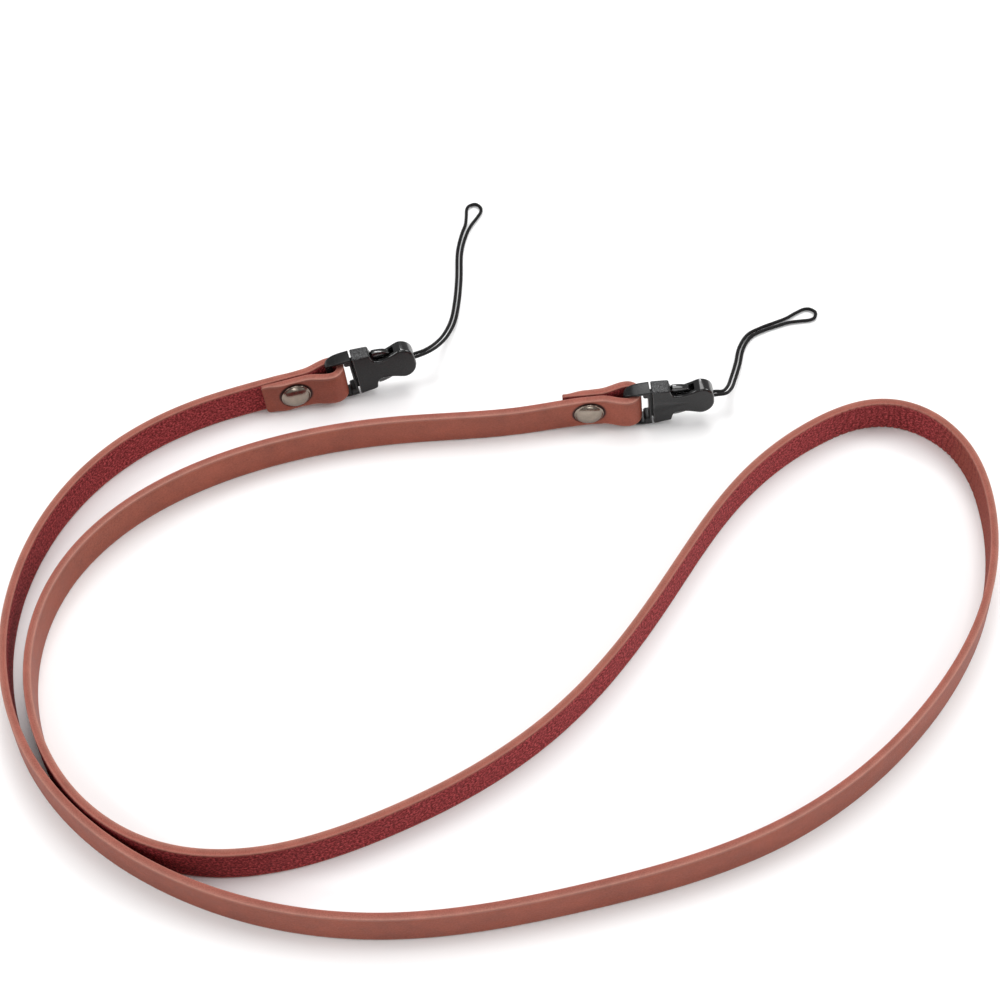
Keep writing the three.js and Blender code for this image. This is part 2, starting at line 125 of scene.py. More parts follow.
# Rounding of the tabs' lower and upper corners, in metres
TAB_ROUND_LOW = 0.0014
TAB_ROUND_HIGH = 0.0007

# Wear and painted light of the band in metres: reach of the painted highlight along its corners,
# length of a wrinkle, reach of a rivet's dimple and painted shade and the place given to the
# leather beyond it, and the dimple under a cap. The wrinkles' reach from the middle of the tight
# bend is a share of the lay
RIM_HIGHLIGHT_REACH = 0.00024
WRINKLE_PITCH = 0.0019
WRINKLED_REACH = 0.030
RIVET_REACH = 0.012
FAR_PLACE = (0.0, 10.0, 0.0)
CENTIMETRES = 100
DIMPLE_RADIUS = 0.0049
DIMPLE_DEPTH = 0.00026

# Stations along a fold and its tab, in millimetres
FOLD_START = 0.6
FOLD_STEPS = 24
BIGHT_STEPS = 41
TAB_END_STEPS = np.array((0, 0.12, 0.35))
TAB_EVEN = 0.8
TAB_STEP = 0.6

# Distance between the middles of a cord's two strands in metres: side by side, then opening to the
# eye at the end, and the spacing of a cord's points
SIDE_BY_SIDE = 0.00115
EYE_APART = (0.0013, 0.0016, 0.0030, 0.0040, 0.0032, 0.0)
CORD_SPACING = 0.0003

# Middle line between the strands of each cord loop, repeated from the solid, in metres
CORD_ROUTES = {
    "left": (
        # x, y, z
        (-0.0252, 0.0761, 0.00965),
        (-0.0232, 0.0766, 0.00994),
        (-0.0206, 0.0792, 0.00860),
        (-0.0178, 0.0846, 0.00560),
        (-0.0157, 0.0910, 0.00260),
        (-0.0143, 0.0972, 0.00090),
        (-0.0135, 0.1042, 0.00048),
        (-0.0131, 0.1120, 0.00045),
        (-0.0130, 0.1222, 0.00045),
        (-0.0119, 0.1286, 0.00045),
        (-0.0108, 0.1322, 0.00045),
        (-0.0099, 0.1353, 0.00045),
        (-0.0093, 0.1378, 0.00045),
        (-0.0091, 0.1392, 0.00045),
        (-0.0089, 0.1402, 0.00045),
    ),
    "right": (
        (0.0497, 0.0647, 0.00855),
        (0.0518, 0.0649, 0.00878),
        (0.0539, 0.0659, 0.00790),
        (0.0558, 0.0696, 0.00540),
        (0.0574, 0.0752, 0.00240),
        (0.0592, 0.0817, 0.00080),
        (0.0606, 0.0874, 0.00048),
        (0.0630, 0.0916, 0.00045),
        (0.0665, 0.0939, 0.00045),
        (0.0702, 0.0956, 0.00045),
        (0.0734, 0.0970, 0.00045),
        (0.0763, 0.0982, 0.00045),
        (0.0788, 0.0991, 0.00045),
        (0.0801, 0.0995, 0.00045),
        (0.0810, 0.0998, 0.00045),
    ),
}

# How each clasp hangs in its fold: degrees to the left, of the upper edge to the left and of the
# nose upwards, then millimetres to the left and up
HANGS = {
    "left": {"turn": -1, "lean": 3, "tip": 3, "aside": 0.4, "lift": 0.3},
    "right": {"turn": 3, "lean": 0.5, "tip": 1, "aside": -0.45, "lift": -0.25},
}

# Clasp sizes in millimetres, as the solid has them
RING_HEIGHT = 12.9
RING_THICKNESS = 3.7
BAR_TO_MOUTH = 6.1
SHOULDER_DEPTH = 0.95
BODY_LENGTH = 15.5
BODY_THICKNESS = 3.9
MOUTH_LENGTH = 4.6
MOUTH_INNER = 10.5
CAVITY_THICKNESS = 2.0
NOSE_LENGTH = 5.1
ARM_SPAN = 10.8
ARM_LENGTH = 10.1

# Smaller measures of the clasp's loop, in millimetres
RING_TRIM = 0.06
LEG_OVERLAP = 0.55
NECK_OVERLAP = 0.3
ROOT_WIDTH = 3.64
PLUG_THICKNESS = 1.4

# Inner end of the nose, the slot for the cord in it, and the hollows of the body's face, in
# millimetres, and a height that is beyond the whole clasp
BEYOND = 9
NOSE_FLAT = 2
NOSE_SLOPE = 0.9
SLOT_WIDTH = 2.6
SLOT_HALF = 0.73
WEDGE_DEPTH = 0.36
WAIST_DEPTH = 0.16

# How far a cap sinks into the leather in millimetres, and its shape as shares of its diameter and
# height: radius to the middle of its rolled rim with the rim's half width and half height, then
# the radius and the foot of its dome
CAP_SINK = 0.18
CAP_RIM = (0.464, 0.036, 0.14)
CAP_SIDES = 72
DOME_RADIUS = 0.458
DOME_FOOT = 0.20

# Angles from which an edge is rounded and from which it is shaded as sharp, and a rounding in
# metres that is wider than any small piece, which is then rounded as far as it can be
FILLET_ANGLE = math.radians(38)
CREASE_ANGLE = math.radians(32)
FULL_ROUND = 0.1

# Mouth block of the clasp's body: x, then how far its rim is below the clasp's half height, in
# millimetres, with further rows between these and the number of columns across the body
BLOCK_ROWS = (
    (0.00, 0.30),
    (0.04, 0.16),
    (0.15, 0.05),
    (0.32, 0.00),
    (1.50, 0.12),
    (3.00, 0.28),
    (4.15, 0.42),
    (4.35, 0.50),
    (4.52, 0.66),
    (4.60, 0.85),
)
BLOCK_STEPS = (0.09, 0.22, 0.45, 0.7, 1.1, 2.0, 2.5, 3.5)
SHELL_COLUMNS = 49

# Points nearer than this are one point, in metres
SAME_POINT = 2e-6

# How much of the block tops' texture the flat plates and the loop have
SATIN = 0.35

# Rim of the clasp's body past its mouth block: share of its length, share of half its height
RIM_ROWS = (
    (0.303, 0.800),
    (0.315, 0.671),
    (0.335, 0.578),
    (0.361, 0.519),
    (0.392, 0.489),
    (0.430, 0.481),
    (0.510, 0.508),
    (0.589, 0.562),
    (0.657, 0.629),
    (0.718, 0.694),
    (0.774, 0.738),
    (0.835, 0.728),
    (0.895, 0.660),
    (0.945, 0.545),
    (0.980, 0.390),
    (1.000, 0.200),
)

# Outline of the arms between the plates: share of their length, share of half their span
ARM_ROWS = (
    (0.090, 0.900),
    (0.230, 0.830),
    (0.486, 0.870),
    (0.516, 1.000),
    (0.620, 0.990),
    (0.800, 0.910),
    (0.930, 0.760),
    (0.990, 0.570),
    (0.960, 0.460),
    (0.700, 0.650),
    (0.455, 0.440),
    (0.250, 0.410),
    (0.180, 0.300),
)

# Leg of the clasp's loop, from its shoulder back and down to the bar, in millimetres
LEG_ROWS = (
    # x, z, width across, depth
    (5.70, 6.02, 3.80, 0.78),
    (4.00, 6.02, 3.80, 0.76),
    (2.60, 5.98, 3.70, 0.72),
    (1.30, 5.86, 3.40, 0.72),
    (0.30, 5.50, 2.80, 0.85),
    (-0.22, 4.95, 2.10, 1.10),
    (-0.22, 4.30, 1.60, 1.20),
)

# Thick root of each leg beside its shoulder: x, z
ROOT_ROWS = ((3.8, 6.34), (3.8, 5.95), (3.88, 4.5), (4.05, 4.2), (5.65, 4.1), (5.65, 6.34))

# Bar of the clasp's loop: height and radius
BAR_ROWS = (
    (-5.40, 0.55),
    (-5.20, 0.85),
    (-4.80, 0.90),
    (4.80, 0.90),
    (5.20, 0.85),
    (5.40, 0.55),
)

# Linear colours of the painted highlight along the band's corners and of the painted shade in the
# leather round a rivet, which fades out between two distances from the rivet's middle, in centimetres
RIM_HIGHLIGHT_COLOUR = (0.56, 0.29, 0.23)
GROOVE_SHADE = (0.010, 0.003, 0.003)
GROOVE_STOPS = ((0.400, 1.0), (0.445, 0.0))

# Length of one crossing of the cord's strands in metres, and how many sides the cord has
BRAID_PITCH = 0.00045
CORD_SIDES = 14

# Floor and camera in metres, with the point looked at, and the light from all round
FLOOR_LEVEL = -0.0002
FLOOR_CORNERS = ((-6, -6), (6, -6), (6, 6), (-6, 6))
LOOK_X = -0.00211
LOOK_Y = 0.03802
SURROUND_LIGHT = 0.38


def linear(red, green, blue):
    """Screen colour from 0 to 255 as the linear colour that nodes take."""

    def one(value):
        value = value / 255
        return value / 12.92 if value <= 0.04045 else ((value + 0.055) / 1.055) ** 2.4

    return (one(red), one(green), one(blue))


class StageSettings(bpy.types.PropertyGroup):
    floor_colour: FloatVectorProperty(
        name="Floor colour",
        description="Pale floor and backdrop",
        subtype="COLOR",
        default=(0.95, 0.95, 0.95),
    )
    lens: FloatProperty(
        name="Lens", description="Focal length of the camera", default=72.0, unit="CAMERA"
    )
    elevation: FloatProperty(
        name="Elevation",
        description="How far the camera looks down",
        default=math.radians(52.7),
        unit="ROTATION",
    )
    distance: FloatProperty(
        name="Distance",
        description="From the camera to the point it looks at",
        default=0.49,
        unit="LENGTH",
    )
    light_strength: FloatProperty(
        name="Light strength",
        description="Share of the studio lights' full power",
        default=1.0,
        subtype="FACTOR",
    )


class CordSettings(bpy.types.PropertyGroup):
    diameter: FloatProperty(
        name="Diameter", description="Thickness of the cord", default=0.00085, unit="LENGTH"
    )
    colour: FloatVectorProperty(
        name="Colour", description="Colour of the cord", subtype="COLOR", default=linear(13, 12, 13)
    )


class BandSettings(bpy.types.PropertyGroup):
    width: FloatProperty(
        name="Width",
        description="Height of the band as it stands on its edge",
        default=0.010,
        unit="LENGTH",
    )
    thickness: FloatProperty(
        name="Thickness", description="Thickness of the leather", default=0.0019, unit="LENGTH"
    )
    corner: FloatProperty(
        name="Corner", description="Radius of the band's edges", default=0.00034, unit="LENGTH"
    )
    wrinkle_depth: FloatProperty(
        name="Wrinkle depth",
        description="Depth of the wrinkles inside the tight bend",
        default=0.0002,
        unit="LENGTH",
    )
    grain_colour: FloatVectorProperty(
        name="Grain colour",
        description="Smooth outer side",
        subtype="COLOR",
        default=linear(145, 76, 59),
    )
    flesh_colour: FloatVectorProperty(
        name="Flesh colour",
        description="Suede inner side",
        subtype="COLOR",
        default=linear(138, 35, 38),
    )
    edge_colour: FloatVectorProperty(
        name="Edge colour", description="Cut edges", subtype="COLOR", default=linear(150, 93, 80)
    )


class RivetSettings(bpy.types.PropertyGroup):
    diameter: FloatProperty(
        name="Diameter", description="Across a rivet cap", default=0.0075, unit="LENGTH"
    )
    height: FloatProperty(
        name="Height", description="Of a cap's dome", default=0.0015, unit="LENGTH"
    )
    colour: FloatVectorProperty(
        name="Colour",
        description="Dark nickel of the caps",
        subtype="COLOR",
        default=linear(150, 139, 127),
    )


class ClaspSettings(bpy.types.PropertyGroup):
    colour: FloatVectorProperty(
        name="Colour",
        description="Black plastic of the clasps",
        subtype="COLOR",
        default=linear(9, 9, 10),
    )
    fillet: FloatProperty(
        name="Fillet", description="Rounding of the moulded edges", default=0.00042, unit="LENGTH"
    )


def sign(operation, swapped=False):
    """A wire's method for one arithmetic sign; swapped is for a wire on the sign's right."""

    def method(self, other):
        return self.maths(operation, *((other, self) if swapped else (self, other)))

    return method


class Wire:
    """A socket's value, so that sums on it write Math nodes."""

    def __init__(self, tree, socket):
        self.tree = tree
        self.socket = socket

    def maths(self, operation, *values):
        """A Math node of the values, or of this one alone."""
        node = self.tree.nodes.new("ShaderNodeMath")
        node.operation = operation
        for number, value in enumerate(values or (self,)):
            join(self.tree, value, node.inputs[number])
        return Wire(self.tree, node.outputs[0])

    __add__, __radd__ = sign("ADD"), sign("ADD", True)
    __sub__, __rsub__ = sign("SUBTRACT"), sign("SUBTRACT", True)
    __mul__, __pow__ = sign("MULTIPLY"), sign("POWER")


def join(tree, value, socket):
    """Links a wire to a socket, or sets the socket to a plain value."""
    if isinstance(value, Wire):
        tree.links.new(value.socket, socket)
    elif isinstance(socket, bpy.types.NodeSocketColor) and len(value) == 3:
        socket.default_value = (*value, 1)
    else:
        socket.default_value = value


class Nodes:
    """Adds nodes to a tree. node() takes a type, its settings and its sockets' values or links."""

    def __init__(self, tree):
        self.tree = tree

    def fill(self, node, inputs):
        for key, value in inputs.items():
            join(self.tree, value, node.inputs[key])

    def node(self, kind, settings=None, inputs=None, out=0):
        made = self.tree.nodes.new(kind)
        for key, value in (settings or {}).items():
            setattr(made, key, value)
        self.fill(made, inputs or {})
        return Wire(self.tree, made.outputs[out])

    def ramp(self, factor, *stops):
        made = self.node("ShaderNodeValToRGB", inputs={0: factor})
        steps = made.socket.node.color_ramp.elements
        while len(steps) < len(stops):
            steps.new(0.5)
        for step, (place, level) in zip(steps, stops):
            step.position = place
            step.color = (level, level, level, 1)
        return made

    def mix(self, factor, first, second):
        return self.node("ShaderNodeMix", {"data_type": "RGBA"}, {0: factor, 6: first, 7: second}, out=2)

    def attribute(self, name, out="Fac"):
        return self.node("ShaderNodeAttribute", {"attribute_name": name}, out=out)

    def place(self):
        return self.node("ShaderNodeTexCoord", out="Object")

    def noise(self, place, scale, detail=3.0, rough=0.5):
        sockets = {"Vector": place, "Scale": scale, "Detail": detail, "Roughness": rough}
        return self.node("ShaderNodeTexNoise", inputs=sockets, out="Fac")

    def bump(self, height, strength, distance):
        sockets = {"Strength": strength, "Distance": distance, "Height": height}
        return self.node("ShaderNodeBump", inputs=sockets, out="Normal")


def shade(colour, factor, lift=0.0):
    return tuple(min(1, part * factor + lift) for part in colour)


def new_paint(name):
    """A material with its tree's helper."""
    material = bpy.data.materials.new(name)
    material.use_nodes = True
    return material, Nodes(material.node_tree)


def set_shader(material, nodes, **values):
    """Links or sets the shader's inputs, named in lower case, and gives the material back."""
    shader = material.node_tree.nodes["Principled BSDF"]
    names = {name.lower().replace(" ", "_"): name for name in shader.inputs.keys()}
    nodes.fill(shader, {names[key]: value for key, value in values.items()})
    return material


def leather_paint(settings):
    """Smooth reddish brown grain outside, dark red suede inside and pale cut edges, with painted highlight
    and shade.
    """
    material, nodes = new_paint("leather_band")
    place, lie = nodes.place(), nodes.attribute("lie", "Vector")
    flesh, edge, rim = (nodes.attribute(key) for key in ("flesh", "edge", "rim"))
    crease, worn = nodes.attribute("crease"), nodes.attribute("worn")
    rivet_place = nodes.attribute("rivet_place", "Vector")
    from_rivet = nodes.node("ShaderNodeVectorMath", {"operation": "LENGTH"}, {0: rivet_place}, out="Value")
    painted_groove_shade = nodes.ramp(from_rivet, *GROOVE_STOPS)

    cloud = nodes.noise(place, 55.0, 4.0, 0.55)
    patch = nodes.noise(place, 260.0)
    pores = nodes.noise(place, 2300.0, 3.0, 0.6)
    tufts = nodes.noise(lie, 1650.0, 4.0, 0.7)
    fibres = nodes.noise(place, 3800.0, 2.0, 0.6)

    grain, suede, cut = settings.grain_colour, settings.flesh_colour, settings.edge_colour
    grain_tone = nodes.ramp(cloud * 0.30 + patch * 0.25 + pores * 0.45, (0.38, 0.0), (0.62, 1.0))
    outside = nodes.mix(grain_tone, shade(grain, 0.74), shade(grain, 1.19))
    tuft_tone = nodes.ramp(tufts, (0.39, 0.0), (0.51, 0.34), (0.62, 1.0))
    inside = nodes.mix(tuft_tone, shade(suede, 0.36), shade(suede, 1.9, 0.045))
    inside = nodes.mix(worn * (0.45 + tuft_tone * 0.5), inside, shade(grain, 0.85))
    # Painted shade in the wrinkles of the tight bend, on the suede side
    inside = nodes.mix(crease * 0.65, inside, shade(suede, 0.4))
    edge_tone = nodes.ramp(patch * 0.3 + fibres * 0.7, (0.38, 0.0), (0.62, 1.0))
    edges = nodes.mix(edge_tone, shade(cut, 0.72), shade(cut, 1.18))
    edges = nodes.mix(flesh * 0.2, edges, tuple(suede))
    colour = nodes.mix(edge, nodes.mix(flesh, outside, inside), edges)
    # Painted highlight along the band's corners, stronger on the grain side
    colour = nodes.mix(rim * 0.42, colour, RIM_HIGHLIGHT_COLOUR)
    # Painted shade in the leather round each rivet cap
    colour = nodes.mix(painted_groove_shade * 0.92, colour, GROOVE_SHADE)

    relief = pores * (1 - flesh) * 0.9 + tufts * flesh * 1.6 + fibres * 0.35 + patch * 0.8
    return set_shader(
        material,
        nodes,
        base_color=colour,
        roughness=0.54 + flesh * 0.36 + edge * 0.10 + (patch - 0.5) * 0.16,
        normal=nodes.bump(relief, 0.6, 0.00014),
        specular_ior_level=0.22,
    )


def nickel_paint(settings):
    """Polished dark nickel, a little brushed by wear."""
    material, nodes = new_paint("rivet_nickel")
    place = nodes.place()
    wear = nodes.noise(place, 700.0, 4.0, 0.6)
    fine = nodes.noise(place, 5200.0, 2.0)
    tone = nodes.ramp(wear, (0.35, 0.0), (0.7, 1.0))
    return set_shader(
        material,
        nodes,
        base_color=nodes.mix(tone, shade(settings.colour, 0.82), tuple(settings.colour)),
        metallic=1.0,
        roughness=0.17 + wear * 0.14,
        normal=nodes.bump(fine, 0.12, 0.00004),
    )


def plastic_paint(settings):
    """Black moulded plastic, finely textured on its flat plates and bare on its rounded rims."""
    material, nodes = new_paint("clasp_plastic")
    place, plate = nodes.place(), nodes.attribute("plate")
    spark = nodes.noise(place, 4200.0, 3.0, 0.65)
    cloud = nodes.noise(place, 500.0)
    tone = nodes.ramp(spark, (0.42, 0.0), (0.66, 1.0)) * (plate**2) * 0.9
    return set_shader(
        material,
        nodes,
        base_color=nodes.mix(tone, tuple(settings.colour), shade(settings.colour, 8, 0.10)),
        coat_weight=nodes.ramp(plate, (0.0, 1.0), (0.3, 0.0)),
        coat_roughness=0.07,
        roughness=0.24 + plate * 0.24 + (cloud - 0.5) * 0.06,
        normal=nodes.bump(spark * plate + cloud * 0.3, 0.35, 0.00006),
        specular_ior_level=0.30,
    )


def cord_paint(settings):
    """Black braid: two sets of strands crossing round the cord."""
    material, nodes = new_paint("cord_braid")
    turns, around = nodes.attribute("along") * (1 / BRAID_PITCH), nodes.attribute("around")
    one, two = (((turns + around * lean) * math.tau).maths("SINE") for lean in (4, -4))
    weave = one * two * 0.5 + 0.5
    return set_shader(
        material,
        nodes,
        base_color=nodes.mix(weave, tuple(settings.colour), shade(settings.colour, 2.2, 0.002)),
        roughness=0.62 + weave * 0.2,
        normal=nodes.bump(weave, 0.6, 0.00006),
        specular_ior_level=0.2,
    )


def floor_paint(settings):
    material, nodes = new_paint("pale_floor")
    cloud = nodes.noise(nodes.place(), 6.0, 2.0)
    colour = nodes.mix(cloud, shade(settings.floor_colour, 0.985), tuple(settings.floor_colour))
    return set_shader(material, nodes, base_color=colour, roughness=0.85, specular_ior_level=0.1)


# The band's path, worked out in millimetres


class Station:
    """A place on the band's middle line, with its way ahead and its left side."""

    def __init__(self, place, ahead, left):
        self.place = Vector(place)
        self.ahead = Vector(ahead).normalized()
        self.left = Vector(left).normalized()
        self.up = self.ahead.cross(self.left)


def lay_stations():
    """The band from one rivet to the other, walked in even steps; every step is kept in the tight bend."""
    step = LAY_LENGTH / LAY_STEPS
    along, turn, lean = np.array(LAY_ROWS).T
    x = y = 0.0
    heading = math.radians(LAY_HEADING)
    tilt = math.radians(NOSE_LIFT)
    found = []
    for number in range(LAY_STEPS + 1):
        distance = number * step
        share = distance / LAY_LENGTH
        if number % KEPT_STEPS == 0 or abs(share - TIGHT_BEND) < TIGHT_REACH:
            to_start = max(0, 1 - distance / RISE_LENGTH)
            to_end = max(0, 1 - (LAY_LENGTH - distance) / RISE_LENGTH)
            rise = (to_start**2 + to_end**2) * RISE_LENGTH * tilt / 2
            pitch = (to_end - to_start) * tilt
            angle = math.radians(np.interp(share, along, lean))
            stand = HALF_WIDTH * math.cos(angle) + HALF_EDGE * abs(math.sin(angle))
            level = Vector((math.cos(heading), math.sin(heading), 0)) * math.cos(pitch)
            ahead = Vector((level.x, level.y, math.sin(pitch)))
            left = Matrix.Rotation(-angle, 3, ahead) @ Vector((-math.sin(heading), math.cos(heading), 0))
            found.append(Station((x, y, stand + rise), ahead, left))
        bend = math.radians(np.interp((distance + step / 2) / LAY_LENGTH, along, turn)) * step / LAY_LENGTH
        x += math.cos(heading + bend / 2) * step
        y += math.sin(heading + bend / 2) * step
        heading += bend
    return found


def lengths(points):
    steps = np.linalg.norm(np.diff(points, axis=0), axis=1)
    return np.concatenate(([0], np.cumsum(steps)))


class Fold:
    """One folded end: its origin is midway between the layers at the rivet, u runs to the nose."""

    def __init__(self, end, towards_nose):
        self.layer = (LEATHER + LAYER_GAP) / 2
        self.u = end.ahead * towards_nose
        self.v = end.left * towards_nose
        self.w = self.u.cross(self.v)
        self.origin = end.place + self.v * towards_nose * self.layer

    def at(self, along, aside):
        return self.origin + self.u * along + self.v * aside

    def station(self, along, aside, angle):
        ahead = self.u * math.cos(angle) + self.v * math.sin(angle)
        left = self.u * -math.sin(angle) + self.v * math.cos(angle)
        return Station(self.at(along, aside), ahead, left)

    def spread(self, along):
        t = min(1, max(0, (along - FOLD_PINCH) / (FOLD_REACH - FOLD_PINCH)))
        return self.layer + (POCKET - self.layer) * t * t * (3 - 2 * t)

    def slope(self, along, step=0.01):
        return math.atan((self.spread(along + step) - self.spread(along - step)) / (2 * step))

    def stations(self):
        out, back = [], []
        for along in np.linspace(FOLD_START, FOLD_REACH, FOLD_STEPS, endpoint=False):
            out.append(self.station(along, -self.spread(along), -self.slope(along)))
            back.insert(0, self.station(along, self.spread(along), math.pi + self.slope(along)))
        bight = []
        for angle in np.linspace(0, math.pi, BIGHT_STEPS):
            along = FOLD_REACH + POCKET * math.sin(angle)
            bight.append(self.station(along, -POCKET * math.cos(angle), angle))
        return out + bight + back

    def length(self):
        """Way round the fold, from the rivet and back to it, in metres."""
        points = np.array([one.place for one in self.stations()]) * MM
        return float(lengths(points)[-1]) + 2 * FOLD_START * MM

    def tab(self, length, layer, angle):
        """The tab's stations, closer at its trimmed end."""
        found = [*(length - TAB_END_STEPS), *np.arange(length - TAB_EVEN, 0, -TAB_STEP), 0]
        return [self.station(-distance, layer * self.layer, angle) for distance in found]

    def matrix(self, along=0):
        turned = Matrix((self.u, self.v, self.w)).transposed().to_4x4()
        return Matrix.Translation(self.at(along, 0)) @ turned


def band_stations(folds, lay):
    left, right = folds["left"], folds["right"]
    return (
        left.tab(TAB_LEFT, -1, 0)
        + left.stations()
        + lay
        + right.stations()
        + right.tab(TAB_RIGHT, 1, math.pi)[::-1]
    )


def settle(lay_folds):
    """Shift from the walked lay to the row frame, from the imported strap's own box."""
    stations = band_stations(*lay_folds)
    lows, highs = Vector((1e9,) * 3), Vector((-1e9,) * 3)
    for one in stations:
        for side, height in ((-1, -1), (-1, 1), (1, -1), (1, 1)):
            corner = one.place + one.left * side * (LEATHER / 2) + one.up * height * HALF_SIDE
            lows, highs = Vector(map(min, lows, corner)), Vector(map(max, highs, corner))
    cad_low, cad_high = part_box("strap")
    middle = (cad_low + cad_high) / 2 / MM - (lows + highs) / 2
    return Vector((middle.x, middle.y, 0))


def make_folds():
    lay = lay_stations()
    folds = {"left": Fold(lay[0], -1), "right": Fold(lay[-1], 1)}
    shift = settle((folds, lay))
    for one in lay:
        one.place += shift
    for fold in folds.values():
        fold.origin += shift
    return folds, lay


FOLDS, LAY = make_folds()


# Meshes


def add_object(name, mesh):
    made = bpy.data.objects.new(name, mesh)
    bpy.context.scene.collection.objects.link(made)
    return made


def line_object(name, points, closed=False, **values):
    """A row of joined points with a number at each point for every named value."""
    mesh = bpy.data.meshes.new(name)
    count = len(points)
    edges = [(n, n + 1) for n in range(count - 1)] + ([(count - 1, 0)] if closed else [])
    mesh.from_pydata([tuple(p) for p in points], edges, [])
    for key, numbers in values.items():
        layer = mesh.attributes.new(key, "FLOAT", "POINT")
        layer.data.foreach_set("value", np.asarray(numbers, np.float32))
    return add_object(name, mesh)


def plain_mesh(made, name):
    """The evaluated object as a plain mesh object, with the source and its modifiers gone."""
    bpy.context.view_layer.update()
    graph = bpy.context.evaluated_depsgraph_get()
    ready = made.evaluated_get(graph)
    mesh = bpy.data.meshes.new_from_object(ready, preserve_all_data_layers=True, depsgraph=graph)
    old = made.data
    bpy.data.objects.remove(made)
    if old.users == 0:
        bpy.data.meshes.remove(old)
    mesh.name = name
    return add_object(name, mesh)


def new_tree(name, **sockets):
    """A geometry tree with its group nodes and named inputs."""
    tree = bpy.data.node_groups.new(name, "GeometryNodeTree")
    for label, kind in {"Geometry": "Geometry", **sockets}.items():
        tree.interface.new_socket(label, in_out="INPUT", socket_type="NodeSocket" + kind)
    tree.interface.new_socket("Geometry", in_out="OUTPUT", socket_type="NodeSocketGeometry")
    source = tree.nodes.new("NodeGroupInput")
    return tree, Nodes(tree), {s.name: Wire(tree, s) for s in source.outputs if s.name}


def close_tree(nodes, geometry, material):
    real = nodes.node("GeometryNodeRealizeInstances", inputs={0: geometry})
    painted = nodes.node("GeometryNodeSetMaterial", inputs={"Geometry": real, "Material": material})
    out = nodes.tree.nodes.new("NodeGroupOutput")
    join(nodes.tree, painted, out.inputs[0])


def run_tree(made, tree, **values):
    """Puts the tree on an object and sets its inputs by their identifiers."""
    modifier = made.modifiers.new(tree.name, "NODES")
    modifier.node_group = tree
    for item in tree.interface.items_tree:
        if item.in_out == "INPUT" and item.name.lower() in values:
            modifier[item.identifier] = values[item.name.lower()]


def sweep(nodes, given, curve, section):
    """Ends a tree with a closed section swept along a curve."""
    parts = {"Curve": curve, "Profile Curve": section, "Fill Caps": True}
    swept = nodes.node("GeometryNodeCurveToMesh", inputs=parts)
    smooth = nodes.node("GeometryNodeSetShadeSmooth", inputs={"Geometry": swept, "Shade Smooth": True})
    close_tree(nodes, smooth, given["Material"])


def path_tree():
    """Sweeps a section object along a tilted path."""
    tree, nodes, given = new_tree("band_along_path", Section="Object", Material="Material")
    curve = nodes.node("GeometryNodeMeshToCurve", inputs={0: given["Geometry"]})
    upright = nodes.node("GeometryNodeSetCurveNormal", {"mode": "Z_UP"}, {"Curve": curve})
    tilt = nodes.node("GeometryNodeInputNamedAttribute", {"data_type": "FLOAT"}, {"Name": "tilt"})
    tilted = nodes.node("GeometryNodeSetCurveTilt", inputs={"Curve": upright, "Tilt": tilt})
    outline = nodes.node("GeometryNodeObjectInfo", inputs={"Object": given["Section"]}, out="Geometry")
    sweep(nodes, given, tilted, nodes.node("GeometryNodeMeshToCurve", inputs={0: outline}))
    return tree


def cord_tree():
    """Round cord along a path, with the way round it kept for the braid."""
    tree, nodes, given = new_tree("cord_along_path", Diameter="Float", Sides="Int", Material="Material")
    curve = nodes.node("GeometryNodeMeshToCurve", inputs={0: given["Geometry"]})
    size = {"Resolution": given["Sides"], "Radius": given["Diameter"] * 0.5}
    ring = nodes.node("GeometryNodeCurvePrimitiveCircle", inputs=size)
    turn = nodes.node("GeometryNodeSplineParameter", out="Factor")
    marked = nodes.node(
        "GeometryNodeStoreNamedAttribute",
        {"data_type": "FLOAT", "domain": "POINT"},
        {"Geometry": ring, "Name": "around", "Value": turn},
    )
    sweep(nodes, given, curve, marked)
    return tree


def rivet_tree():
    """Sets a cap on each point, turned as the point says, sized by the named inputs."""
    sockets = {"Cap": "Object", "Diameter": "Float", "Height": "Float", "Material": "Material"}
    tree, nodes, given = new_tree("rivet_caps", **sockets)
    cap = nodes.node("GeometryNodeObjectInfo", inputs={"Object": given["Cap"]}, out="Geometry")
    turns = nodes.node("GeometryNodeInputNamedAttribute", {"data_type": "FLOAT_VECTOR"}, {"Name": "turn"})
    across, height = given["Diameter"], given["Height"]
    size = nodes.node("ShaderNodeCombineXYZ", inputs={"X": across, "Y": across, "Z": height})
    points = nodes.node("GeometryNodeMeshToPoints", inputs={"Mesh": given["Geometry"]})
    parts = {"Points": points, "Instance": cap, "Rotation": turns, "Scale": size}
    close_tree(nodes, nodes.node("GeometryNodeInstanceOnPoints", inputs=parts), given["Material"])
    return tree


def spline(rows, steps=5, spacing=None):
    """Catmull-Rom line through rows with its ends kept, in equal steps or at a rough spacing."""
    points = [np.array(row, float) for row in rows]
    points = [2 * points[0] - points[1], *points, 2 * points[-1] - points[-2]]
    power = 0.5 if spacing else 0
    line = []
    for p0, p1, p2, p3 in zip(points, points[1:], points[2:], points[3:]):
        d0, d1, d2 = (np.linalg.norm(b - a) ** power for a, b in ((p0, p1), (p1, p2), (p2, p3)))
        t1 = ((p1 - p0) / d0 - (p2 - p0) / (d0 + d1) + (p2 - p1) / d1) * d1
        t2 = ((p2 - p1) / d1 - (p3 - p1) / (d1 + d2) + (p3 - p2) / d2) * d1
        if spacing:
            steps = max(2, round(float(np.linalg.norm(p2 - p1)) / spacing))
        square, cube = 3 * (p2 - p1) - 2 * t1 - t2, 2 * (p1 - p2) + t1 + t2
        line += [p1 + t1 * t + square * t**2 + cube * t**3 for t in np.arange(steps) / steps]
    return [*line, points[-2]]


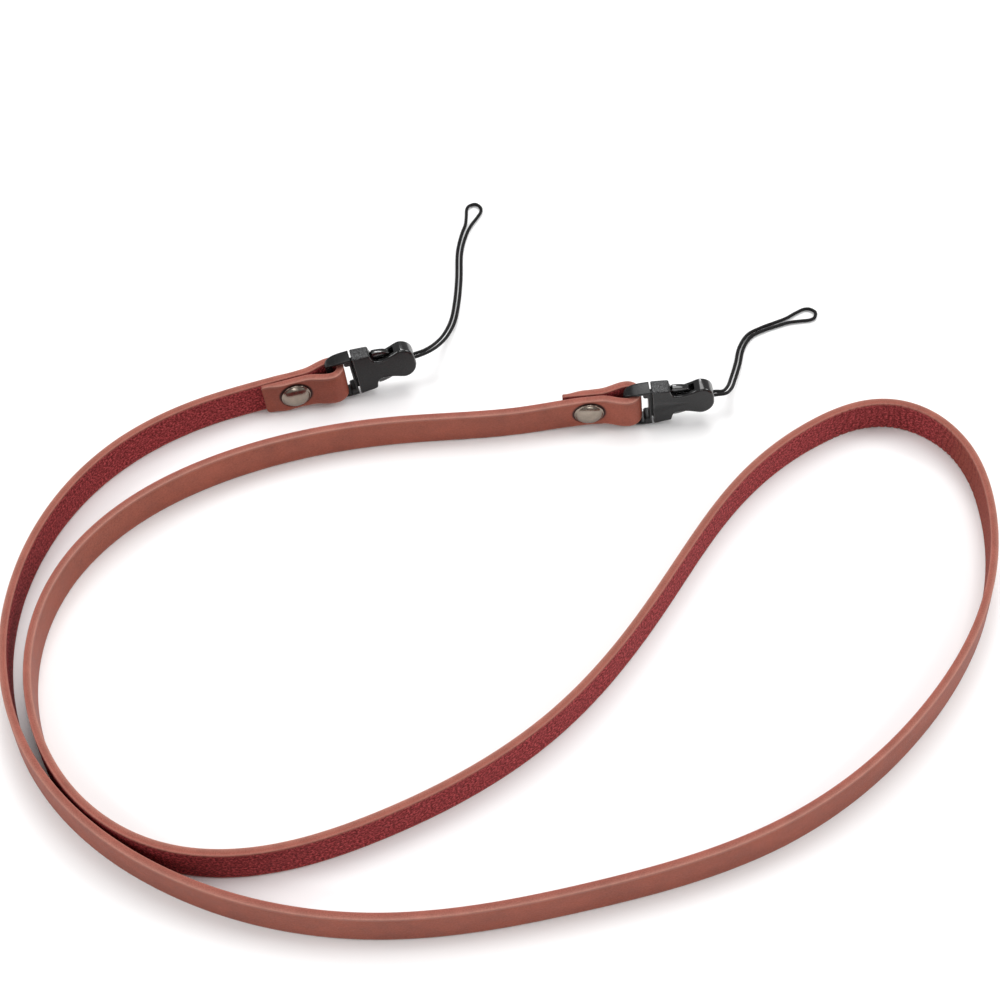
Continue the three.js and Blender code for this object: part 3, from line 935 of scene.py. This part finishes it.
def loop_path(rows):
    """Smooth line out along one strand of a cord loop, round its eye and back along the other."""
    out, back = [], []
    aparts = [SIDE_BY_SIDE] * (len(rows) - len(EYE_APART)) + [*EYE_APART]
    for number, ((x, y, z), apart) in enumerate(zip(rows, aparts)):
        before, after = rows[max(0, number - 1)], rows[min(len(rows) - 1, number + 1)]
        run = Vector((after[0] - before[0], after[1] - before[1])).normalized()
        aside = Vector((-run.y, run.x, 0)) * (apart / 2)
        out.append(Vector((x, y, z)) + aside)
        if apart > 0:
            back.insert(0, Vector((x, y, z)) - aside)
    return np.array(spline(out + back, spacing=CORD_SPACING))


def fade(values, start, end):
    """0 up to the start, 1 from the end on and even between them."""
    return np.clip((values - start) / (end - start), 0, 1)


def read(source, key, size=1):
    """Numbers of a mesh's vertices or attribute, in rows where each has several."""
    numbers = np.zeros(len(source) * size, np.float32)
    source.foreach_get(key, numbers)
    return numbers if size == 1 else numbers.reshape(-1, size)


def write_values(mesh, name, numbers):
    if name in mesh.attributes:
        mesh.attributes.remove(mesh.attributes[name])
    numbers = np.asarray(numbers, np.float32)
    kind = "FLOAT" if numbers.ndim == 1 else "FLOAT_VECTOR"
    layer = mesh.attributes.new(name, kind, "POINT")
    layer.data.foreach_set("value" if kind == "FLOAT" else "vector", numbers.ravel())


def band_section(settings):
    """Points round the band's section: x is the grain side, y is down, both in metres."""
    half_t, half_w, corner = settings.thickness / 2, settings.width / 2, settings.corner
    side = (half_t, half_w, SIDE_CROWN, 15)
    edge = (half_w, half_t, EDGE_CROWN, 5)
    points = []
    for quarter in range(4):
        reach, run, crown, stops = edge if quarter % 2 else side
        reach, run = reach - SIDE_CROWN, run - corner
        line = [(reach + crown * (1 - stop**2), stop * run) for stop in np.linspace(-1, 1, stops)]
        for angle in np.linspace(0, math.pi / 2, 6)[1:-1]:
            line.append((reach - corner + corner * math.cos(angle), run + corner * math.sin(angle)))
        turn = quarter * math.pi / 2
        cos, sin = round(math.cos(turn)), round(math.sin(turn))
        points += [(x * cos - y * sin, x * sin + y * cos) for x, y in line]
    return np.array(points)


def tilts(stations):
    """Tilt of each station from an upright band, about its way ahead."""
    found = []
    for one in stations:
        ahead = one.ahead
        level = Vector((ahead.y, -ahead.x, 0)).normalized()
        right = -one.left
        found.append(math.atan2(level.cross(right).dot(ahead), level.dot(right)))
    return found


class STRAP_OT_stage(bpy.types.Operator):
    """Makes the pale floor, the studio lights and the camera"""

    bl_idname = "strap.stage"
    bl_label = "Stage"

    def execute(self, context):
        settings = context.scene.strap_stage
        mesh = bpy.data.meshes.new("floor")
        mesh.from_pydata([(x, y, FLOOR_LEVEL) for x, y in FLOOR_CORNERS], [], [(0, 1, 2, 3)])
        floor = add_object("floor", mesh)
        mesh.materials.append(floor_paint(settings))

        lens = bpy.data.cameras.new("camera")
        lens.lens, lens.sensor_width, lens.sensor_fit = settings.lens, 36, "HORIZONTAL"
        lens.clip_start = 0.01
        camera = bpy.data.objects.new("camera", lens)
        back, up = math.cos(settings.elevation), math.sin(settings.elevation)
        camera.location = Vector((LOOK_X, LOOK_Y - settings.distance * back, settings.distance * up))
        camera.rotation_euler = (math.pi / 2 - settings.elevation, 0, 0)
        context.scene.collection.objects.link(camera)
        context.scene.camera = camera

        aim = Vector((0, 0.02, 0))
        lamps = (
            # name, place, width, depth, power
            ("top_light", (0.10, 0.45, 1.25), 0.9, 0.9, 10.5),
            ("left_light", (-1.05, -0.10, 0.80), 0.5, 0.5, 5.2),
            ("right_light", (1.10, 0.05, 0.80), 0.5, 0.5, 5.2),
            ("front_light", (0.35, -1.15, 0.75), 0.6, 0.6, 1.2),
            ("front_glint", (0.05, -0.95, 0.90), 0.5, 0.14, 1.8),
            ("back_glint", (0.02, 0.92, 1.02), 0.4, 0.10, 2.4),
        )
        for name, place, width, depth, power in lamps:
            lamp = bpy.data.lights.new(name, "AREA")
            lamp.shape, lamp.size, lamp.size_y = "RECTANGLE", width, depth
            lamp.energy = power * settings.light_strength
            made = bpy.data.objects.new(name, lamp)
            made.location = place
            made.rotation_euler = (aim - Vector(place)).to_track_quat("-Z", "Y").to_euler()
            context.scene.collection.objects.link(made)
        world = bpy.data.worlds.new("studio")
        world.use_nodes = True
        surround = world.node_tree.nodes["Background"]
        surround.inputs["Color"].default_value = (1, 1, 1, 1)
        surround.inputs["Strength"].default_value = SURROUND_LIGHT
        context.scene.world = world
        context.scene.view_settings.view_transform = "Standard"
        return {"FINISHED"}


class STRAP_OT_cords(bpy.types.Operator):
    """Makes the thin cord loop out of each clasp's nose"""

    bl_idname = "strap.cords"
    bl_label = "Cord loops"

    def execute(self, context):
        settings = context.scene.strap_cord
        paint = cord_paint(settings)
        tree = cord_tree()
        for side, rows in CORD_ROUTES.items():
            path = loop_path(rows)
            along = lengths(path)
            name = f"cord_loop_{side}"
            line = line_object(name + "_path", path, along=along)
            run_tree(line, tree, diameter=settings.diameter, sides=CORD_SIDES, material=paint)
            cord = plain_mesh(line, name)
            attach(cord, "root")
            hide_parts(f"cord_{side}")
        return {"FINISHED"}


class STRAP_OT_band(bpy.types.Operator):
    """Makes the leather band with its folds, tabs and wrinkles"""

    bl_idname = "strap.band"
    bl_label = "Leather band"

    def execute(self, context):
        settings = context.scene.strap_band
        stations = band_stations(FOLDS, LAY)
        points = np.array([one.place for one in stations]) * MM
        along = lengths(points)
        path = line_object("band_path", points, along=along, tilt=tilts(stations))
        section_points = band_section(settings)
        section = line_object(
            "band_section",
            [(x, y, 0) for x, y in section_points],
            closed=True,
            across=section_points[:, 0],
            down=section_points[:, 1],
        )
        run_tree(path, path_tree(), section=section, material=leather_paint(settings))
        band = plain_mesh(path, "leather_band")
        bpy.data.objects.remove(section)
        self.shape(band.data, settings)
        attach(band, "root")
        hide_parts("strap")
        return {"FINISHED"}

    def shape(self, mesh, settings):
        """Wrinkles, dimples under the rivets, rounded tab ends and the values that the leather reads."""
        layers = (mesh.attributes[key].data for key in ("along", "across", "down"))
        along, across, down = (read(layer, "value") for layer in layers)
        places = read(mesh.vertices, "co", 3).astype(float)
        normals = read(mesh.vertex_normals, "vector", 3)
        half_t, half_w = settings.thickness / 2, settings.width / 2
        height = np.abs(down)
        corner = np.hypot(height - (half_w - 0.0001), np.abs(across) - (half_t - 0.0001))
        # Mask of the painted highlight along the band's four corners, stronger on the grain side
        rim = np.exp(-((corner / RIM_HIGHLIGHT_REACH) ** 2)) * np.where(across > 0, 1.0, 0.7)
        write_values(mesh, "flesh", fade(across, 0.0004, -0.0004))
        write_values(mesh, "edge", fade(height, half_w - 0.00038, half_w - 0.00022))
        write_values(mesh, "rim", rim)
        write_values(mesh, "lie", np.stack([along, down, np.where(across > 0, 0.3, 0.0)], 1))

        total = float(along.max())
        lay_start = total - (TAB_RIGHT + LAY_LENGTH) * MM - FOLDS["right"].length()
        share = (along - lay_start) / (LAY_LENGTH * MM)
        bend = np.exp(-(((share - TIGHT_BEND) / WRINKLED_REACH) ** 4))
        phase = along / WRINKLE_PITCH + 0.4 * np.sin(along / 0.0031)
        phase += 0.3 * np.sin(down / 0.0021 + along / 0.005)
        strength = 0.45 + 0.55 * np.sin(along / 0.0047 + 1.3) ** 2
        crease = np.maximum(0, np.sin(phase * math.tau)) ** 2 * bend * strength
        crease *= across < -half_t + 0.0003
        # The crease mask both sinks the wrinkles and paints shade into them
        write_values(mesh, "crease", crease)
        write_values(mesh, "worn", fade(share, 0.40, 0.44) * fade(share, 0.497, 0.485))
        places -= normals * (crease * settings.wrinkle_depth)[:, None]

        from_end = np.minimum(along, total - along)
        thin = fade(from_end, 0.0058, 0.0008)
        thin = thin * thin * (3 - 2 * thin) * TAB_SKIVE
        is_left = (along < total / 2)[:, None]
        ups = np.where(is_left, FOLDS["left"].w, FOLDS["right"].w)
        outer = np.where(is_left, -FOLDS["left"].v, FOLDS["right"].v)
        places -= outer * ((across + half_t) * thin)[:, None]
        round_end = np.where(down > 0, TAB_ROUND_LOW, TAB_ROUND_HIGH)
        short = np.clip(round_end - from_end, 0, None)
        trim = round_end - np.sqrt(np.maximum(round_end**2 - short**2, 0))
        places += ups * (np.sign(down) * np.maximum(0, height - (half_w - trim)))[:, None]

        # Places round each rivet, which the leather's paint turns into a ring of painted shade
        rivet_places = np.tile(FAR_PLACE, (len(places), 1))
        for fold in FOLDS.values():
            apart = places - np.array(fold.origin) * MM
            aside = apart @ np.array(fold.v)
            flat = apart - np.outer(aside, fold.v)
            near = np.linalg.norm(apart, axis=1) < RIVET_REACH
            dimple = np.exp(-((np.linalg.norm(flat, axis=1) / DIMPLE_RADIUS) ** 8)) * near
            dimple *= DIMPLE_DEPTH * (np.abs(aside) > 0.0016)
            places -= normals * dimple[:, None]
            rivet_places[near] = (flat * CENTIMETRES)[near]
        write_values(mesh, "rivet_place", rivet_places)
        mesh.vertices.foreach_set("co", places.astype(np.float32).ravel())
        mesh.update()


class STRAP_OT_rivets(bpy.types.Operator):
    """Makes the domed caps on both sides of each folded end"""

    bl_idname = "strap.rivets"
    bl_label = "Rivets"

    def execute(self, context):
        settings = context.scene.strap_rivet
        cap = self.cap()
        places, turns = [], []
        for fold in FOLDS.values():
            for side in (-1, 1):
                aside = side * (fold.layer + LEATHER / 2 - CAP_SINK)
                out = fold.v * side
                turned = Matrix((fold.u, out.cross(fold.u), out)).transposed()
                places.append(fold.at(0, aside) * MM)
                turns.append(turned.to_euler())
        spots = line_object("rivet_spots", places)
        write_values(spots.data, "turn", np.array([tuple(t) for t in turns]))
        size = {"diameter": settings.diameter, "height": settings.height}
        run_tree(spots, rivet_tree(), cap=cap, material=nickel_paint(settings), **size)
        rivets = plain_mesh(spots, "rivet_caps")
        bpy.data.objects.remove(cap)
        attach(rivets, "root")
        kinds = [(kind, side) for kind in ("cap", "post") for side in ("left", "right")]
        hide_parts(*[f"rivet_{kind}_{side}" for kind, side in kinds])
        return {"FINISHED"}

    def cap(self):
        """Cap of unit diameter and height: rolled rim, small step and low dome."""
        turns = [math.radians(angle) for angle in np.linspace(-70, 75, 8)]
        middle, half_width, half_height = CAP_RIM
        rim = [(middle + half_width * math.cos(t), half_height * (1 + math.sin(t))) for t in turns]
        radii = DOME_RADIUS * (1 - np.linspace(0, 1, 18)[1:] ** 1.6)
        rises = [(1 - (radius / 0.465) ** 2.8) ** 0.66 for radius in radii]
        dome = [(radius, DOME_FOOT + (1 - DOME_FOOT) * rise) for radius, rise in zip(radii, rises)]
        rows = [(0.455, 0), *rim, *dome[:-1]]
        shape = bmesh.new()
        rings = tube(shape, [ring(radius, height, CAP_SIDES) for radius, height in rows])
        for edge, height in ((rings[0], 0), (rings[-1], dome[-1][1])):
            middle = shape.verts.new((0, 0, height))
            for first, second in zip(edge, edge[1:] + edge[:1]):
                shape.faces.new((first, second, middle))
        made = finish_mesh("cap", shape, Matrix.Scale(1 / MM, 4))
        made.data.shade_smooth()
        return made


def bridge(shape, first, second):
    """Faces between two rows of as many vertices."""
    for corners in zip(first, first[1:], second[1:], second):
        shape.faces.new(corners)


def tube(shape, rings):
    """Vertices of rings of points, with faces from each ring to the next."""
    rings = [[shape.verts.new(spot) for spot in ring] for ring in rings]
    for lower, upper in zip(rings, rings[1:]):
        bridge(shape, lower + lower[:1], upper + upper[:1])
    return rings


def ring(radius, height, around):
    turns = np.arange(around) * math.tau / around
    return [(radius * math.cos(turn), radius * math.sin(turn), height) for turn in turns]


def finish_mesh(name, shape, matrix):
    """An object of the shape, placed by a matrix in millimetres and facing outwards."""
    bmesh.ops.recalc_face_normals(shape, faces=shape.faces)
    mesh = bpy.data.meshes.new(name)
    shape.to_mesh(mesh)
    shape.free()
    mesh.transform(Matrix.Scale(MM, 4) @ matrix)
    return add_object(name, mesh)


def solid(name, rings, matrix):
    """Solid of rings of points, closed at both ends."""
    shape = bmesh.new()
    made = tube(shape, rings)
    for end in (made[0], made[-1]):
        shape.faces.new(end)
    return finish_mesh(name, shape, matrix)


def mirrored(rows):
    """Closed outline of (x, z) points with the same rows above and below the middle line."""
    upper = [tuple(row) for row in rows]
    lower = [(x, -z) for x, z in reversed(upper) if abs(z) > 1e-6]
    return upper + lower


def slab(name, outline, thickness, matrix):
    """Solid of an outline in x and z with a thickness across y."""
    faces = [[(x, y, z) for x, z in outline] for y in (-thickness / 2, thickness / 2)]
    return solid(name, faces, matrix)


def box_outline(low_x, high_x, half_z):
    return [(low_x, -half_z), (high_x, -half_z), (high_x, half_z), (low_x, half_z)]


def strip(name, rows, side, matrix, around=20):
    """Flat strip along a curved line of (x, z, width across y, depth) rows, with rounded edges."""
    rows = np.array(spline(rows))
    ahead = np.gradient(rows[:, :2], axis=0)
    ahead /= np.linalg.norm(ahead, axis=1)[:, None]
    turns = np.arange(around) * math.tau / around
    across, out = (
        np.copysign(np.abs(wave) ** power, wave) / 2
        for wave, power in ((np.cos(turns), 0.3), (np.sin(turns), 0.45))
    )
    rings = []
    for (x, z, wide, deep), (run, rise) in zip(rows, ahead):
        spots = zip(across * wide, out * deep)
        rings.append([(x - rise * off, y, (z + run * off) * side) for y, off in spots])
    return solid(name, rings, matrix)


def cut(made, *cutters):
    for cutter in cutters:
        modifier = made.modifiers.new("cut", "BOOLEAN")
        modifier.operation, modifier.solver, modifier.object = "DIFFERENCE", "EXACT", cutter


def fillet(made, width, segments=3):
    modifier = made.modifiers.new("fillet", "BEVEL")
    modifier.width, modifier.segments = width, segments
    modifier.limit_method, modifier.angle_limit = "ANGLE", FILLET_ANGLE
    return made


def clasp_matrix(side, ahead=0.0):
    hang = HANGS[side]
    turned = (
        Matrix.Rotation(math.radians(hang["turn"]), 4, "Z")
        @ Matrix.Rotation(math.radians(-hang["tip"]), 4, "Y")
        @ Matrix.Rotation(math.radians(-hang["lean"]), 4, "X")
    )
    shifted = Matrix.Translation((0, hang["aside"], hang["lift"]))
    return FOLDS[side].matrix(FOLD_REACH) @ shifted @ turned @ Matrix.Translation((ahead, 0, 0))


def clean(mesh):
    """Merges points that a cut or a fillet left on one another, and removes the faces between them."""
    shape = bmesh.new()
    shape.from_mesh(mesh)
    bmesh.ops.remove_doubles(shape, verts=shape.verts, dist=SAME_POINT)
    bmesh.ops.dissolve_degenerate(shape, edges=shape.edges, dist=SAME_POINT)
    bmesh.ops.triangulate(shape, faces=shape.faces, ngon_method="BEAUTY")
    bmesh.ops.dissolve_degenerate(shape, edges=shape.edges, dist=SAME_POINT)
    shape.to_mesh(mesh)
    shape.free()


def joined(name, pieces, paint, cutters=()):
    """One painted mesh of closed ones with their modifiers applied, shaded by angle."""
    shape = bmesh.new()
    for piece in pieces:
        plain = plain_mesh(piece, piece.name)
        clean(plain.data)
        shape.from_mesh(plain.data)
        bpy.data.objects.remove(plain)
    for cutter in cutters:
        bpy.data.objects.remove(cutter)
    mesh = bpy.data.meshes.new(name)
    shape.to_mesh(mesh)
    shape.free()
    mesh.shade_smooth()
    mesh.set_sharp_from_angle(angle=CREASE_ANGLE)
    mesh.materials.append(paint)
    return add_object(name, mesh)


def clasp_places(mesh, matrix):
    """The mesh's points in the clasp's own frame, in millimetres, and how squarely each faces across."""
    inverse = np.array((Matrix.Scale(MM, 4) @ matrix).inverted())
    places = read(mesh.vertices, "co", 3) @ inverse[:3, :3].T + inverse[:3, 3]
    return places, np.abs(read(mesh.vertex_normals, "vector", 3) @ inverse[1, :3]) * MM


def mark_plates(mesh, matrix):
    """Marks the flat outer plates and block tops, which are finely textured."""
    places, facing = clasp_places(mesh, matrix)
    flat = SATIN * fade(facing, 0.88, 0.98)
    block = (places[:, 0] < MOUTH_LENGTH - 0.3) & (np.abs(places[:, 2]) > RING_HEIGHT / 2 - 0.5)
    write_values(mesh, "plate", np.maximum(flat, block))


class STRAP_OT_clasp_loops(bpy.types.Operator):
    """Makes the half of each clasp that holds the band: ring, bar, neck and springy arms"""

    bl_idname = "strap.clasp_loops"
    bl_label = "Clasp loops"

    def execute(self, context):
        settings = context.scene.strap_clasp
        paint = plastic_paint(settings)
        for side in ("left", "right"):
            matrix = clasp_matrix(side)
            made = joined(f"clasp_ring_{side}", self.loop(matrix, settings), paint)
            behind = clasp_places(made.data, matrix)[0][:, 0] < BAR_TO_MOUTH
            write_values(made.data, "plate", SATIN * behind)
            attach(made, "root")
            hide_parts(f"clasp_loop_{side}")
        return {"FINISHED"}

    def loop(self, matrix, settings):
        half = RING_HEIGHT / 2 - RING_TRIM
        window_end = BAR_TO_MOUTH - SHOULDER_DEPTH
        shoulder = box_outline(window_end, window_end + LEG_OVERLAP, half)
        neck_end = BAR_TO_MOUTH + NECK_OVERLAP
        collar = box_outline(window_end + 0.05, neck_end, MOUTH_INNER / 2 - NECK_OVERLAP)
        arms = [(BAR_TO_MOUTH + along * ARM_LENGTH, share * ARM_SPAN / 2) for along, share in ARM_ROWS]
        start = BAR_TO_MOUTH - SHOULDER_DEPTH / 2
        outer = [*arms[:3], *spline(arms[3:9], 4), *spline(arms[9:], 3)]
        plug = mirrored([(start, 0.0), (start, arms[0][1]), *outer, (arms[-1][0], 0.0)])
        roots = [[(x, z * side) for x, z in ROOT_ROWS] for side in (-1, 1)]
        return [
            strip("leg_top", LEG_ROWS, 1, matrix),
            strip("leg_low", LEG_ROWS, -1, matrix),
            solid("bar", [ring(radius, height, 32) for height, radius in BAR_ROWS], matrix),
            *(fillet(slab("root", outline, ROOT_WIDTH, matrix), FULL_ROUND) for outline in roots),
            fillet(slab("shoulder", shoulder, RING_THICKNESS, matrix), FULL_ROUND, 2),
            fillet(slab("neck", collar, PLUG_THICKNESS, matrix), FULL_ROUND, 2),
            fillet(slab("plug", plug, PLUG_THICKNESS, matrix), settings.fillet * 0.75),
        ]


class STRAP_OT_clasp_bodies(bpy.types.Operator):
    """Makes the other half of each clasp: two plates joined at the mouth and the nose"""

    bl_idname = "strap.clasp_bodies"
    bl_label = "Clasp bodies"

    def execute(self, context):
        settings = context.scene.strap_clasp
        paint = plastic_paint(settings)
        for side in ("left", "right"):
            matrix = clasp_matrix(side, BAR_TO_MOUTH)
            ridge = -1 if side == "right" else 1
            body, tools = self.body(matrix, settings, ridge)
            made = joined(f"clasp_shell_{side}", [body], paint, tools)
            mark_plates(made.data, matrix)
            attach(made, "root")
            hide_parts(f"clasp_body_{side}")
        return {"FINISHED"}

    def body(self, matrix, settings, ridge):
        """The body, and what is cut out of it: its mouth, its open sides and the slot for the cord."""
        body = self.shell(matrix, settings, ridge)
        mouth = box_outline(-1, MOUTH_LENGTH + 1, MOUTH_INNER / 2)
        end = BODY_LENGTH - NOSE_LENGTH
        low = [(MOUTH_LENGTH, -BEYOND), (end + NOSE_SLOPE, -BEYOND), (end, -NOSE_FLAT)]
        tools = [
            slab("cavity", mouth, CAVITY_THICKNESS, matrix),
            slab("sides", mirrored(low), CAVITY_THICKNESS, matrix),
            slab("slot", box_outline(BODY_LENGTH - 2, BODY_LENGTH + 2, SLOT_HALF), SLOT_WIDTH, matrix),
        ]
        cut(body, *tools)
        return body, tools

    def shell(self, matrix, settings, ridge):
        """Solid body before its cuts: rounded towards its outline, with a wedge hollowed into one face."""
        half = RING_HEIGHT / 2
        rim = spline([(x * BODY_LENGTH, z * half) for x, z in RIM_ROWS], 4)
        rows = np.array([(x, half - below) for x, below in BLOCK_ROWS] + rim)
        finer = np.unique([*rows[:, 0], *BLOCK_STEPS])
        heights = np.interp(finer, rows[:, 0], rows[:, 1])
        share = np.sin(np.linspace(-1, 1, SHELL_COLUMNS) * math.pi / 2)
        x = np.repeat(finer[:, None], len(share), 1)
        z = heights[:, None] * share[None, :]

        corners = np.array(mirrored(list(zip(finer, heights))))
        run = np.roll(corners, -1, 0) - corners
        spots = np.stack([x, z], 2)[:, :, None]
        along = ((spots - corners) * run).sum(3) / np.maximum((run * run).sum(1), 1e-9)
        nearest = corners + np.clip(along, 0, 1)[..., None] * run
        inside = np.sqrt(((spots - nearest) ** 2).sum(3)).min(2)

        radius = settings.fillet / MM * (1 + 0.35 * fade(x, 7, 13) ** 2)
        short = np.clip(radius - inside, 0, None)
        level = BODY_THICKNESS / 2 - radius + np.sqrt(np.maximum(radius**2 - short**2, 0))
        level -= WAIST_DEPTH * np.exp(-(((x - 7.2) / 2.4) ** 2)) * fade(inside, 0, 0.6)
        wedge = np.exp(-((z / np.maximum(0.35, 1.75 - 0.2 * x)) ** 2)) * fade(x, 9.2, 1.2)
        wedge *= WEDGE_DEPTH * fade(inside, 0, 0.5)

        shape = bmesh.new()
        grids = []
        for side in (-1, 1):
            y = side * (level - (wedge if side == ridge else 0))
            grids.append([[shape.verts.new(spot) for spot in zip(*row)] for row in zip(x, y, z)])
            for first, second in zip(grids[-1], grids[-1][1:]):
                bridge(shape, first, second)
        near, far = grids
        for end in (0, -1):
            bridge(shape, near[end], far[end])
            bridge(shape, [row[end] for row in near], [row[end] for row in far])
        return finish_mesh("shell", shape, matrix)


class STRAP_PT_panel(bpy.types.Panel):
    """Lists the steps that make the neck strap"""

    bl_idname = "STRAP_PT_panel"
    bl_label = "Neck strap"
    bl_space_type = "VIEW_3D"
    bl_region_type = "UI"
    bl_category = "Neck strap"

    def draw(self, context):
        layout = self.layout
        for operator in OPERATORS:
            layout.operator(operator.bl_idname)
        for key in SETTINGS:
            box = layout.box()
            group = getattr(context.scene, key)
            for name in group.bl_rna.properties.keys():
                if name not in ("rna_type", "name"):
                    box.prop(group, name)


SETTINGS = {
    "strap_stage": StageSettings,
    "strap_cord": CordSettings,
    "strap_band": BandSettings,
    "strap_rivet": RivetSettings,
    "strap_clasp": ClaspSettings,
}
OPERATORS = (
    STRAP_OT_stage,
    STRAP_OT_cords,
    STRAP_OT_band,
    STRAP_OT_rivets,
    STRAP_OT_clasp_loops,
    STRAP_OT_clasp_bodies,
)


def register():
    for group in SETTINGS.values():
        bpy.utils.register_class(group)
    for key, group in SETTINGS.items():
        setattr(bpy.types.Scene, key, PointerProperty(type=group))
    for operator in (*OPERATORS, STRAP_PT_panel):
        bpy.utils.register_class(operator)


def unregister():
    for operator in reversed((*OPERATORS, STRAP_PT_panel)):
        bpy.utils.unregister_class(operator)
    for key in SETTINGS:
        delattr(bpy.types.Scene, key)
    for group in reversed(SETTINGS.values()):
        bpy.utils.unregister_class(group)


def main():
    register()
    for operator in OPERATORS:
        group, name = operator.bl_idname.split(".")
        getattr(getattr(bpy.ops, group), name)()


if __name__ == "__main__":
    main()
